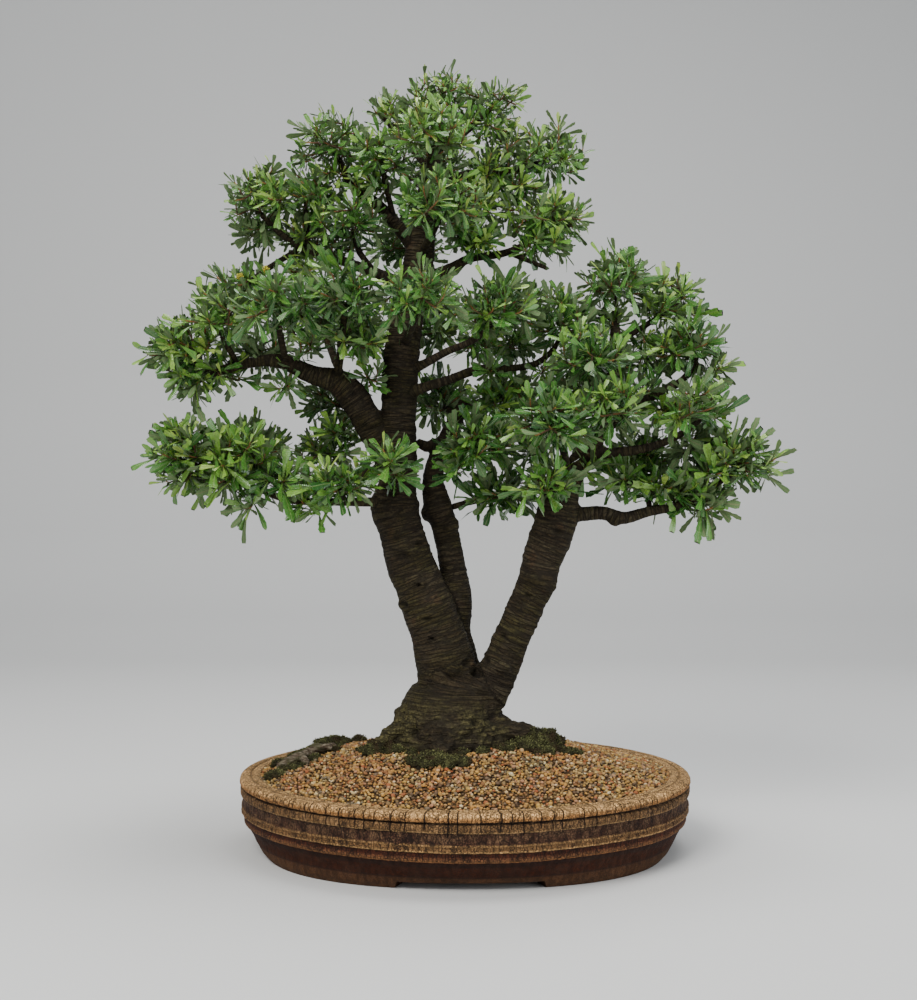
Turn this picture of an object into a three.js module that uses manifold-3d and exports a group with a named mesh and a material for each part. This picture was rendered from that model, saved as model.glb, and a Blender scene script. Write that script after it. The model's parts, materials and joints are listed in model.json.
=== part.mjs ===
// A silver banksia bonsai with three trunks, in its oval crackle-finish stoneware pot.
// Millimetres, +Z up, the front of the tree faces -Y. The origin is under the pot's middle, on the surface
// that it stands on.
import * as THREE from "three";
import { mergeVertices } from "three/addons/utils/BufferGeometryUtils.js";
import Module from "manifold-3d";

const wasm = await Module();
wasm.setup();

// Clearance between pieces that rest on or against each other.
const GAP = 0.35;

// Pot: half-widths along X, and how much narrower the oval is along Y at the foot and at the rim.
const POT_HALF_WIDTH = 222.7;
const POT_HEIGHT = 74;
const OVAL_AT_FOOT = 0.777;
const OVAL_AT_RIM = 0.844;
const POT_SIDES = 30;
const FOOT_FULLNESS = 0.35;
const FOOT_HEIGHT = 7;
const FOOT_HALF_WIDTH = 195.5;
const FOOT_WALL = 20;
const FOOT_TAPER = 2;
const FOOT_GAP_FRONT = 133;
const FOOT_GAP_FRONT_X = 4;
const FOOT_GAP_SIDE = 96;
const FLOOR_TOP = 17.5;
const FLOOR_HALF_WIDTH = 184;
const RIM_INNER = 202.5;
const WALL_SHOULDER = [201, 66];
const WALL_BOTTOM = [194, 26];
const DRAIN_HOLE_RADIUS = 15;
const DRAIN_HOLE_SIDES = 16;
const DRAIN_HOLE_X = 92;

// Drainage screens over the two holes.
const SCREEN_SIDE = 44;
const SCREEN_THICKNESS = 1;
const SCREEN_OPENING = 15;
const SCREEN_BAR = 4;

// Fill: potting mix to its own mound, pebbles over it to theirs, both highest at the trunk.
const MIX_EDGE_Z = 60;
const PEBBLE_EDGE_Z = 72;
const MOUND_RISE = 32;
const MOUND_RINGS = 2;
const MIX_ROOM_GROWTH = 3;
const PEBBLE_RINGS = 10;
const PEBBLE_SKIRT = 8;
const PEBBLE_RIM_DROP = 0.5;
const WALL_CLEARANCE = 1.8;
const PEBBLE_RISE = 2.2;
const PEBBLE_LOWEST = 0.6;
const PEBBLE_HIGHEST = 1.4;
const PEBBLE_SCATTER = 0.012;
const PEBBLE_TURN_SCATTER = 0.3;

// Bark: the ringed relief of the trunks, as a share of their radius, and the distance between its rings.
const RING_RELIEF = 0.035;
const RING_PITCH = 19;

// A branchlet's root is this share of the limb it leaves, or of its own next radius.
const ROOT_SLIMNESS = 0.8;
const ROOT_TAPER = 1.2;

// Foliage: length and width of a full-grown leaf, how its blade is cut and keeled, how high and low leaves
// stand on a spray, and the share of the spray that its inner core fills.
const LEAF_LENGTH = 40;
const LEAF_WIDTH = 12;
const LEAF_KEEL = 1.6;
const LEAF_KEEL_AT = 0.66;
const LEAF_CUP = 0.6;
const LEAF_DROOP = 3.5;
const LEAF_SHOULDER = 0.74;
const LEAF_TOOTH = 0.58;
const LEAF_NOTCH = 0.93;
const LEAF_FEWEST = 7;
const LEAF_MOST = 11;
const LEAF_SPACING = 4;
const LEAF_TRIES = 5;
const LEAF_TRY_TURN = 0.22;
const LEAF_TRY_SHRINK = 0.06;
const LEAF_HIGHEST = 0.94;
const LEAF_LOWEST = -0.78;
const CORE_SHARE = 0.4;
const CORE_UNEVENNESS = 0.12;
const LEAF_ROOT_SHARE = 0.12;
const GOLDEN_ANGLE = Math.PI * (3 - Math.sqrt(5));
const LUMP_UNEVENNESS = 0.07;

const COLOURS = {
  pot: [0x6b4a32, 0.85],
  screen: [0x2c2c2a, 0.7],
  mix: [0x33251b, 0.98],
  pebbles: [0xa37a4f, 0.9],
  bark: [0x4a3a29, 0.9],
  leaf: [0x3f7a33, 0.45],
  moss: [0x39452a, 0.98],
  weathered: [0x77705f, 0.95],
};

// The root flare and the three trunks, as [x, y, z, radius] from the root up.
const FLARE = [
  [-14, 10, 46, 46],
  [-14, 10, 78, 60],
  [-14, 10, 98, 64],
  [-14, 10, 110, 60],
  [-14, 11, 122, 57],
  [-12, 12, 134, 50],
  [-8, 13, 144, 42],
  [-6, 14, 158, 33],
];
const MAIN_TRUNK = [
  [-12, 14, 140, 33],
  [-19, 15, 173, 30],
  [-26, 15, 203, 27.5],
  [-37, 15, 233, 27],
  [-48, 15, 261, 24.5],
  [-56, 15, 281, 24],
  [-64, 15, 312, 22.5],
  [-71, 15, 337, 24],
  [-68, 14, 362, 19.5],
  [-67, 13, 413, 17.8],
  [-65, 12, 483, 18],
  [-62, 12, 510, 17.5],
];
const MAIN_LEADER = [
  [-65, 12, 486, 17.5],
  [-56, 12, 543, 16.5],
  [-46, 12, 590, 15],
  [-40, 10, 630, 12.5],
  [-34, 8, 676, 9],
  [-27, 4, 722, 5],
  [-24, 0, 748, 2.5],
];
const REAR_TRUNK = [
  [0, 30, 140, 27],
  [-3, 34, 176, 18],
  [-8, 36, 206, 14.5],
  [-8, 36, 243, 15.8],
  [-13, 36, 277, 13.4],
  [-20, 36, 313, 13.4],
  [-28, 36, 338, 15],
  [-33, 36, 364, 10.5],
  [-30, 36, 380, 10.5],
];
const REAR_LEADER = [
  [-33, 36, 366, 10.3],
  [-28, 37, 385, 10.3],
  [-20, 39, 405, 9],
  [-9, 42, 427, 8],
  [0, 46, 447, 5],
];
const RIGHT_TRUNK = [
  [12, 8, 130, 24],
  [25, 6, 152, 20.5],
  [42, 5, 192, 19],
  [53, 4, 218, 18],
  [64, 3, 243, 18],
  [73, 2, 263, 20],
  [77, 1, 283, 19.5],
  [85, 0, 303, 21.5],
  [91, 0, 323, 21],
  [95, 0, 343, 19],
  [99, 0, 358, 15],
];
const RIGHT_LEADER = [
  [96, 0, 346, 14],
  [112, -2, 378, 11.5],
  [126, -3, 398, 9.5],
  [140, -3, 425, 8.5],
  [147, -2, 455, 7.5],
  [150, -1, 504, 6],
  [150, 0, 532, 4],
];
const ROOTS = [
  [[16, -5, 112, 20], [50, -9, 111, 13.5], [78, -12, 104, 10], [98, -14, 96, 5]],
  [[-15, -28, 112, 22], [-22, -55, 103, 13], [-30, -75, 96, 7], [-44, -88, 91, 4]],
  [[-48, 0, 118, 20], [-71, -12, 109, 12], [-86, -22, 101, 8], [-95, -30, 95, 4]],
  [[-40, 40, 116, 20], [-60, 62, 105, 12], [-75, 82, 95, 5]],
  [[18, 44, 116, 20], [38, 66, 105, 12], [50, 84, 95, 5]],
];

// Main branches, each from inside what carries it to its end.
const BRANCHES = [
  [[-70, 12, 372, 14], [-93, 8, 412, 14.5], [-111, 4, 445, 15.5], [-128, 0, 461, 12.5], [-150, -3, 467, 9.5],
    [-180, -6, 480, 8], [-201, -8, 481, 5.8], [-225, -11, 476, 5.2], [-249, -13, 469, 4.4],
    [-270, -15, 478, 3], [-288, -18, 491, 2.2]],
  [[-70, 8, 339, 8], [-93, 0, 341, 4.8], [-131, -14, 341, 3.8], [-174, -24, 343, 3.6], [-201, -27, 353, 3.4],
    [-232, -29, 364, 3], [-262, -30, 376, 2.5], [-286, -32, 385, 2.2]],
  [[-68, 14, 366, 8], [-94, 14, 372, 5.6], [-130, 16, 364, 5.2], [-160, 14, 365, 4.8], [-189, 6, 368, 4.2],
    [-210, -12, 374, 3], [-220, -36, 380, 2.2]],
  [[-58, 6, 450, 8], [-43, 2, 455, 5.4], [-13, -4, 464, 4.6], [13, -6, 473, 4.2], [45, -6, 474, 3.6],
    [72, 0, 480, 3.2], [90, 4, 496, 2.6], [98, 3, 514, 2.2]],
  [[-56, 8, 473, 6], [-40, 2, 480, 4.4], [-18, -4, 491, 3.8], [10, -12, 502, 3.2], [34, -30, 522, 2.2]],
  [[-50, 12, 560, 8], [-34, 8, 568, 6], [-10, 4, 578, 5], [5, 2, 585, 4.4], [40, -1, 590, 3.6],
    [64, -3, 601, 2.8], [80, -6, 617, 2.2]],
  [[-44, 12, 594, 10], [-60, 9, 610, 7.4], [-85, 5, 637, 6.2], [-112, 2, 657, 5], [-130, -2, 690, 2.4]],
  [[-55, 14, 556, 9], [-88, 17, 572, 6], [-120, 14, 584, 5], [-158, 10, 594, 4.2], [-184, 6, 610, 3.4],
    [-210, 1, 635, 2.2]],
  [[88, 3, 327, 12], [108, 0, 328, 7.6], [138, -2, 330, 7], [157, -3, 325, 6.6], [184, -6, 332, 5.2],
    [219, -9, 339, 4.2], [245, -12, 356, 3], [270, -13, 372, 2.2]],
  [[132, -3, 410, 8], [152, -1, 428, 6], [176, 0, 443, 5.2], [200, -3, 452, 4.2], [220, -6, 466, 3.4],
    [232, -9, 488, 2.2]],
  [[124, -3, 390, 8], [148, -6, 390, 5], [178, -10, 394, 4.4], [206, -15, 404, 3.6], [235, -36, 425, 2.2]],
  [[46, -1, 590, 3.4], [62, -4, 582, 2.4], [80, -6, 574, 2]],
  [[-30, 36, 404, 5], [-39, 30, 398, 5.6], [-48, 24, 402, 4.4]],
];

// Each spray: name, middle [x, y, z], half-sizes [x, y, z], and, where no main branch ends in it, the
// branchlet that carries it, from inside its parent limb.
const SPRAYS = [
  ["apex", [-26, -4, 745], [42, 38, 38], [[-30, 6, 700, 6], [-26, -2, 743, 2.5]]],
  ["apex_right", [36, 2, 738], [30, 28, 26], [[-32, 7, 690, 6], [0, 4, 712, 3.4], [30, 2, 738, 2.2]]],
  ["apex_left", [-86, 10, 732], [26, 27, 22], [[-36, 8, 676, 6], [-62, 9, 706, 3.2], [-82, 10, 728, 2.2]]],
  ["crown_front", [-32, -58, 690], [50, 44, 40],
    [[-38, 8, 640, 8], [-35, -25, 662, 4], [-32, -50, 684, 2.6]]],
  ["crown_right", [84, -4, 684], [46, 46, 38],
    [[-37, 8, 650, 8], [0, 2, 668, 4.6], [45, -2, 672, 3.6], [78, -4, 680, 2.4]]],
  ["crown_inner_right", [28, 8, 668], [38, 42, 34],
    [[-38, 8, 640, 8], [-10, 8, 652, 3.6], [22, 8, 664, 2.4]]],
  ["crown_left", [-132, -4, 694], [52, 46, 38]],
  ["crown_inner_left", [-82, -22, 676], [38, 40, 36],
    [[-70, 8, 622, 5], [-78, -10, 652, 3], [-82, -20, 672, 2.2]]],
  ["crown_back", [-32, 74, 692], [54, 48, 42], [[-37, 10, 648, 8], [-34, 44, 668, 4], [-32, 68, 686, 2.6]]],
  ["upper_left", [-214, 0, 640], [42, 44, 40]],
  ["upper_left_inner", [-160, 6, 648], [38, 42, 38],
    [[-158, 10, 594, 4], [-160, 8, 622, 3], [-160, 6, 642, 2.2]]],
  ["upper_front", [-20, -74, 618], [52, 44, 42],
    [[-44, 10, 590, 9], [-34, -28, 600, 4.4], [-22, -66, 614, 2.6]]],
  ["upper_right", [82, -6, 622], [48, 48, 36]],
  ["upper_back", [-62, 108, 622], [52, 46, 42],
    [[-42, 12, 604, 9], [-52, 60, 612, 4.4], [-60, 100, 618, 2.6]]],
  ["inner_left", [-112, -18, 616], [42, 40, 34],
    [[-90, 16, 573, 4.6], [-106, 0, 592, 3.2], [-111, -14, 610, 2.2]]],
  ["back_left_high", [-238, 52, 560], [44, 44, 34],
    [[-166, 10, 597, 3.6], [-202, 28, 580, 3], [-232, 47, 564, 2.2]]],
  ["far_left", [-290, -18, 496], [42, 44, 40]],
  ["left_outer", [-240, -42, 516], [38, 40, 36],
    [[-225, -11, 477, 4.4], [-234, -28, 496, 3], [-238, -38, 510, 2.2]]],
  ["left_front", [-178, -74, 522], [44, 42, 38],
    [[-178, -6, 479, 6], [-178, -40, 498, 3.4], [-178, -68, 516, 2.4]]],
  ["left_inner_front", [-112, -80, 532], [44, 42, 38],
    [[-128, 0, 461, 8], [-120, -36, 494, 3.8], [-113, -74, 526, 2.4]]],
  ["left_low_inner", [-122, -34, 492], [32, 32, 28],
    [[-130, -1, 462, 7], [-125, -20, 478, 3], [-123, -30, 488, 2.2]]],
  ["left_back", [-150, 62, 528], [48, 44, 40], [[-116, 4, 450, 8], [-134, 36, 488, 4], [-148, 56, 522, 2.4]]],
  ["middle_front", [-42, -104, 524], [48, 40, 38],
    [[-60, 8, 500, 12], [-52, -50, 508, 4.4], [-43, -96, 520, 2.6]]],
  ["middle_back", [-46, 106, 530], [52, 46, 42],
    [[-60, 16, 500, 12], [-52, 60, 514, 4.4], [-47, 98, 526, 2.6]]],
  ["gap_left_back", [-140, 46, 446], [34, 32, 28],
    [[-100, 8, 428, 8], [-120, 28, 438, 3.2], [-136, 42, 444, 2.2]]],
  ["middle_right", [36, -34, 528], [48, 44, 42]],
  ["right_mid_outer", [100, 2, 520], [40, 42, 40]],
  ["right_back_mid", [50, 88, 548], [50, 44, 42],
    [[-50, 14, 540, 10], [0, 50, 540, 4.4], [44, 82, 545, 2.6]]],
  ["centre_back_low", [-28, 92, 450], [44, 40, 34],
    [[-6, 43, 430, 6], [-18, 68, 440, 3.4], [-26, 86, 447, 2.4]]],
  ["centre_right_low", [44, 20, 450], [44, 40, 34],
    [[-4, 44, 438, 5], [18, 36, 446, 3.2], [38, 24, 449, 2.2]]],
  ["low_far_left", [-290, -32, 388], [42, 42, 38]],
  ["low_left", [-222, -40, 384], [38, 38, 36]],
  ["low_left_mid", [-220, 48, 398], [42, 40, 32],
    [[-186, 8, 368, 4.2], [-206, 28, 386, 3], [-217, 44, 395, 2.2]]],
  ["low_left_back", [-148, 44, 392], [38, 34, 26],
    [[-134, 16, 364, 4.8], [-142, 32, 380, 2.8], [-147, 41, 389, 2.2]]],
  ["low_left_front", [-122, -42, 356], [34, 30, 25],
    [[-118, -10, 341, 4], [-121, -30, 350, 2.6], [-122, -39, 354, 2]]],
  ["trunk_front", [-74, -46, 372], [24, 22, 30],
    [[-66, 6, 372, 10], [-72, -26, 371, 2.8], [-74, -42, 372, 2]]],
  ["right_top", [152, -2, 560], [44, 44, 38], [[150, -1, 520, 5], [152, -2, 552, 2.4]]],
  ["right_top_outer", [210, 26, 540], [40, 42, 38],
    [[151, -1, 500, 5.6], [180, 10, 518, 3], [206, 24, 536, 2.2]]],
  ["right_outer", [236, -10, 492], [42, 42, 36]],
  ["right_inner", [120, -46, 478], [42, 38, 34],
    [[146, -2, 452, 6], [132, -26, 466, 3], [123, -41, 475, 2.2]]],
  ["right_mid_low", [238, -40, 428], [38, 40, 30]],
  ["right_front", [84, -84, 412], [48, 42, 40], [[104, -1, 366, 10], [94, -44, 392, 4], [86, -78, 407, 2.4]]],
  ["right_front_high", [154, -72, 424], [40, 38, 34],
    [[132, -3, 408, 8], [146, -40, 416, 3.4], [153, -66, 422, 2.4]]],
  ["right_back", [132, 84, 470], [52, 46, 42], [[136, -2, 418, 8], [134, 44, 446, 4], [132, 78, 465, 2.6]]],
  ["centre_low", [16, -26, 394], [44, 42, 42],
    [[-28, 36, 380, 8], [-8, 8, 386, 3.6], [12, -20, 392, 2.4]]],
  ["right_low_inner", [184, 40, 386], [42, 42, 32],
    [[184, -5, 333, 4.6], [184, 16, 360, 3], [184, 36, 381, 2.2]]],
  ["right_low_outer", [276, -14, 376], [50, 42, 40]],
  ["low_band", [40, 22, 348], [40, 38, 22], [[-22, 36, 334, 8], [8, 32, 342, 3.2], [35, 24, 346, 2.2]]],
  ["fork_front", [82, -44, 354], [32, 28, 24], [[94, 0, 345, 12], [86, -28, 351, 3.4], [83, -40, 353, 2.2]]],
];

// Moss: name, middle, half-sizes.
const MOSS = [
  ["moss_right", [72, -14, 101], [32, 24, 19]],
  ["moss_front", [-27, -74, 96], [28, 17, 10]],
  ["moss_left", [-86, -24, 99], [15, 17, 10]],
  ["moss_back_left", [-139, 60, 86], [30, 17, 11]],
];
const OLD_ROOT = [
  [-184, -24, 81, 5],
  [-166, -12, 87, 7.5],
  [-148, 8, 92, 7],
  [-132, 26, 92, 4.5],
];

// Small helpers

function seeded(seed) {
  let state = seed;
  return () => {
    state = (Math.imul(state, 1664525) + 1013904223) >>> 0;
    return state / 4294967296;
  };
}

function solidOf(geometry) {
  const bare = new THREE.BufferGeometry().setAttribute("position", geometry.getAttribute("position"));
  if (geometry.index) bare.setIndex(geometry.index);
  const merged = mergeVertices(bare, 1e-3);
  const corners = merged.index.array;
  const kept = [];
  for (let i = 0; i < corners.length; i += 3) {
    const [a, b, c] = corners.slice(i, i + 3);
    if (a !== b && b !== c && c !== a) kept.push(a, b, c);
  }
  return new wasm.Manifold(new wasm.Mesh({
    numProp: 3,
    vertProperties: new Float32Array(merged.attributes.position.array),
    triVerts: new Uint32Array(kept),
  }));
}

function geometryOf(solid) {
  const mesh = solid.getMesh();
  const geometry = new THREE.BufferGeometry();
  geometry.setAttribute("position", new THREE.BufferAttribute(new Float32Array(mesh.vertProperties), 3));
  geometry.setIndex(new THREE.BufferAttribute(new Uint32Array(mesh.triVerts), 1));
  geometry.computeVertexNormals();
  return geometry;
}

function joined(solids) {
  return solids.reduce((whole, piece) => whole.add(piece));
}

// The largest body of a solid: scraps that a cut leaves loose are dropped.
function mainBody(solid) {
  return solid.decompose().reduce((a, b) => (a.volume() >= b.volume() ? a : b));
}

// A tapering round limb along a route of [x, y, z, radius], with flat ends. Relief swells every other ring.
function limb(route, sides, steps, grow = 0, relief = 0) {
  const points = route.map(([x, y, z]) => new THREE.Vector3(x, y, z));
  const curve = new THREE.CatmullRomCurve3(points);
  const frames = curve.computeFrenetFrames(steps, false);
  const geometry = new THREE.CylinderGeometry(1, 1, 1, sides, steps);
  const place = geometry.getAttribute("position");
  for (let i = 0; i < place.count; i++) {
    const ring = Math.round((place.getY(i) + 0.5) * steps);
    const along = ring / steps;
    const span = curve.getUtoTmapping(along) * (route.length - 1);
    const leg = Math.min(Math.floor(span), route.length - 2);
    const swell = 1 + relief * (ring % 2 ? 1 : -1);
    const radius = THREE.MathUtils.lerp(route[leg][3], route[leg + 1][3], span - leg) * swell + grow;
    const centre = curve.getPointAt(along);
    if (ring === steps) centre.addScaledVector(frames.tangents[ring], grow);
    centre.addScaledVector(frames.normals[ring], place.getX(i) * radius);
    centre.addScaledVector(frames.binormals[ring], -place.getZ(i) * radius);
    place.setXYZ(i, centre.x, centre.y, centre.z);
  }
  return solidOf(geometry);
}

function limbLength(route) {
  const places = route.map(([x, y, z]) => new THREE.Vector3(x, y, z));
  return places.slice(1).reduce((sum, place, i) => sum + place.distanceTo(places[i]), 0);
}

// How narrow the oval is along Y at a height of the pot.
function ovalAt(z) {
  return THREE.MathUtils.lerp(OVAL_AT_FOOT, OVAL_AT_RIM, THREE.MathUtils.clamp(z / POT_HEIGHT, 0, 1));
}

// A point on a circle moved out toward the square round it.
function filledOut(x, y, fullness) {
  const reach = Math.hypot(x, y);
  const power = 2 / (2 + fullness);
  const outward = (value) => (reach ? reach * Math.sign(value) * Math.abs(value / reach) ** power : 0);
  return [outward(x), outward(y)];
}

// An oval solid turned from a profile of [half-width, z] that starts and ends on the axis.
function ovalSolid(profile, grow = 0) {
  const points = profile.map(([r, z]) => new THREE.Vector2(r === 0 ? 0 : r + grow, z));
  const geometry = new THREE.LatheGeometry(points, POT_SIDES);
  geometry.rotateX(Math.PI / 2);
  const place = geometry.getAttribute("position");
  for (let i = 0; i < place.count; i++) {
    const [x, y, z] = [place.getX(i), place.getY(i), place.getZ(i)];
    const [fullX, fullY] = filledOut(x, y, FOOT_FULLNESS * Math.max(0, 1 - z / FLOOR_TOP));
    place.setXY(i, fullX, fullY * ovalAt(z));
  }
  return solidOf(geometry);
}

function boxSolid(sizeX, sizeY, sizeZ, x, y, z) {
  return solidOf(new THREE.BoxGeometry(sizeX, sizeY, sizeZ).translate(x, y, z));
}

// Pot

function potSolid() {
  const body = ovalSolid([
    [0, FOOT_HEIGHT],
    [FOOT_HALF_WIDTH - FOOT_WALL, FOOT_HEIGHT],
    [FOOT_HALF_WIDTH - FOOT_WALL + FOOT_TAPER, 0],
    [FOOT_HALF_WIDTH, 0],
    [201.2, 5],
    [208.8, 15.4],
    [216.6, 28.4],
    [220.8, 34.2],
    [219, 38.6],
    [221.4, 43],
    [220, 46.2],
    [221.8, 48.8],
    [219.9, 53.5],
    [222, 60.8],
    [219.2, 65],
    [POT_HALF_WIDTH, 67.2],
    [POT_HALF_WIDTH, 72],
    [220.4, POT_HEIGHT],
    [RIM_INNER, POT_HEIGHT],
    WALL_SHOULDER,
    WALL_BOTTOM,
    [FLOOR_HALF_WIDTH, FLOOR_TOP],
    [0, FLOOR_TOP],
  ]);
  const cutDepth = 2 * FOOT_HEIGHT;
  const across = boxSolid(FOOT_GAP_FRONT, 3 * POT_HALF_WIDTH, cutDepth, FOOT_GAP_FRONT_X, 0, 0);
  const along = boxSolid(3 * POT_HALF_WIDTH, FOOT_GAP_SIDE, cutDepth, 0, 0, 0);
  const drains = [-DRAIN_HOLE_X, DRAIN_HOLE_X].map((x) => {
    const depth = 3 * FLOOR_TOP;
    const hole = new THREE.CylinderGeometry(DRAIN_HOLE_RADIUS, DRAIN_HOLE_RADIUS, depth, DRAIN_HOLE_SIDES);
    return solidOf(hole.rotateX(Math.PI / 2).translate(x, 0, FLOOR_TOP));
  });
  return body.subtract(across).subtract(along).subtract(joined(drains));
}

function screenSolid(x) {
  const z = FLOOR_TOP + GAP + SCREEN_THICKNESS / 2;
  let plate = boxSolid(SCREEN_SIDE, SCREEN_SIDE, SCREEN_THICKNESS, x, 0, z);
  const pitch = SCREEN_OPENING + SCREEN_BAR;
  for (const i of [-0.5, 0.5]) {
    for (const j of [-0.5, 0.5]) {
      plate = plate.subtract(
        boxSolid(SCREEN_OPENING, SCREEN_OPENING, 3 * SCREEN_THICKNESS, x + i * pitch, j * pitch, z),
      );
    }
  }
  return plate;
}

// Fill

function moundProfile(edgeZ, halfWidth, lift) {
  const rows = [];
  for (let ring = MOUND_RINGS; ring >= 0; ring--) {
    const share = ring / MOUND_RINGS;
    rows.push([halfWidth * share, edgeZ + MOUND_RISE * (1 - share * share) + lift]);
  }
  return rows;
}

// Half-width of the pot's inner wall at a height.
function innerWallAt(z) {
  const lower = [WALL_BOTTOM, WALL_SHOULDER];
  const upper = [WALL_SHOULDER, [RIM_INNER, POT_HEIGHT]];
  const [low, high] = z < WALL_SHOULDER[1] ? lower : upper;
  return THREE.MathUtils.mapLinear(z, low[1], high[1], low[0], high[0]);
}

function mixProfile(lift, grow) {
  const bottom = FLOOR_TOP + GAP + SCREEN_THICKNESS + GAP;
  return [
    [0, bottom],
    [FLOOR_HALF_WIDTH + grow, bottom],
    [WALL_BOTTOM[0] - 2 * GAP + grow, WALL_BOTTOM[1]],
    ...moundProfile(MIX_EDGE_Z, innerWallAt(MIX_EDGE_Z) - 2 * GAP + grow, lift),
  ];
}

// The pebble layer: a disc of rings, each with six more points than the last, in which every third point is a
// raised stone. Lifted a little, it is also the room that pieces lying on the pebbles leave to them.
function pebbleField(lift = 0) {
  const random = seeded(11);
  const edgeZ = PEBBLE_EDGE_Z - PEBBLE_RIM_DROP;
  const skirtZ = MIX_EDGE_Z - PEBBLE_SKIRT;
  const halfX = innerWallAt(edgeZ) - WALL_CLEARANCE;
  const points = [[0, 0, PEBBLE_EDGE_Z + MOUND_RISE + lift]];
  const start = [0];
  for (let ring = 1; ring <= PEBBLE_RINGS; ring++) {
    start.push(points.length);
    for (let step = 0; step < 6 * ring; step++) {
      const share = ring / PEBBLE_RINGS;
      const inside = ring < PEBBLE_RINGS;
      const raised = (ring + (step % ring) + 2 * Math.floor(step / ring)) % 3 === 0;
      const jitter = inside ? PEBBLE_SCATTER * (random() - 0.5) : 0;
      const turn = inside ? PEBBLE_TURN_SCATTER * (random() - 0.5) : 0;
      const angle = (2 * Math.PI * (step + turn)) / (6 * ring);
      const reach = (share + jitter) * halfX;
      const size = THREE.MathUtils.lerp(PEBBLE_LOWEST, PEBBLE_HIGHEST, random());
      const bump = inside && raised ? PEBBLE_RISE * size : 0;
      const z = PEBBLE_EDGE_Z + MOUND_RISE * (1 - share * share) + bump;
      const height = (inside ? z : edgeZ) + lift;
      points.push([reach * Math.cos(angle), reach * ovalAt(edgeZ) * Math.sin(angle), height]);
    }
  }
  const faces = [];
  for (let ring = 1; ring <= PEBBLE_RINGS; ring++) {
    const inner = Math.max(6 * (ring - 1), 1);
    for (let sector = 0; sector < 6; sector++) {
      for (let k = 0; k < ring; k++) {
        const outerA = start[ring] + ((sector * ring + k) % (6 * ring));
        const outerB = start[ring] + ((sector * ring + k + 1) % (6 * ring));
        const innerA = start[ring - 1] + ((sector * (ring - 1) + k) % inner);
        faces.push([innerA, outerA, outerB]);
        if (k < ring - 1) {
          const innerB = start[ring - 1] + ((sector * (ring - 1) + k + 1) % inner);
          faces.push([innerA, outerB, innerB]);
        }
      }
    }
  }
  const rim = start[PEBBLE_RINGS];
  const count = 6 * PEBBLE_RINGS;
  const skirt = points.length;
  const narrowX = (innerWallAt(skirtZ) - WALL_CLEARANCE) / halfX;
  const narrowY = (narrowX * ovalAt(skirtZ)) / ovalAt(edgeZ);
  for (let i = 0; i < count; i++) {
    const [x, y] = points[rim + i];
    points.push([x * narrowX, y * narrowY, skirtZ]);
  }
  const middle = points.length;
  points.push([0, 0, skirtZ]);
  for (let i = 0; i < count; i++) {
    const next = (i + 1) % count;
    faces.push([rim + i, skirt + i, skirt + next], [rim + i, skirt + next, rim + next]);
    faces.push([middle, skirt + next, skirt + i]);
  }
  const geometry = new THREE.BufferGeometry();
  geometry.setAttribute("position", new THREE.Float32BufferAttribute(points.flat(), 3));
  geometry.setIndex(faces.flat());
  return solidOf(geometry);
}

// Wood

function trunkParts(grow) {
  const ringed = (route, sides) => {
    const rings = Math.round(limbLength(route) / RING_PITCH);
    return limb(route, sides, rings, grow, RING_RELIEF);
  };
  return [
    limb(FLARE, 11, 6, grow),
    ringed(MAIN_TRUNK, 8),
    ringed(REAR_TRUNK, 7),
    ringed(RIGHT_TRUNK, 8),
    ...[MAIN_LEADER, REAR_LEADER, RIGHT_LEADER].map((route) => limb(route, 6, route.length - 1, grow)),
  ];
}

// A branchlet's root is kept slimmer than the limb that it leaves.
function slimStart([first, ...rest]) {
  const radius = Math.min(first[3], rest[0][3] * ROOT_TAPER) * ROOT_SLIMNESS;
  return [[...first.slice(0, 3), radius], ...rest];
}

function woodSolid(grow = 0) {
  const roots = ROOTS.map((route) => limb(route, 6, 3, grow));
  const branches = BRANCHES.map((route) => limb(route, 5, route.length - 1, grow));
  const routes = SPRAYS.map(([, , , route]) => route).filter(Boolean);
  const branchlets = routes.map((route) => limb(slimStart(route), 3, route.length - 1, grow));
  return joined([...trunkParts(grow), ...roots, ...branches, ...branchlets]);
}

// Foliage

// A leafy spray's small inner core: an uneven ball, hidden by the whorls that stand out of it.
function coreSolid(middle, half, share) {
  const geometry = new THREE.OctahedronGeometry(1, 0);
  const place = geometry.getAttribute("position");
  for (let i = 0; i < place.count; i++) {
    const [x, y, z] = [place.getX(i), place.getY(i), place.getZ(i)];
    const uneven = 1 + CORE_UNEVENNESS * Math.sin(5 * x + 3 * z + middle[0]) * Math.cos(4 * y + middle[2]);
    place.setXYZ(
      i,
      middle[0] + x * half[0] * share * uneven,
      middle[1] + y * half[1] * share * uneven,
      middle[2] + z * half[2] * share * uneven,
    );
  }
  return solidOf(geometry);
}

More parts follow.
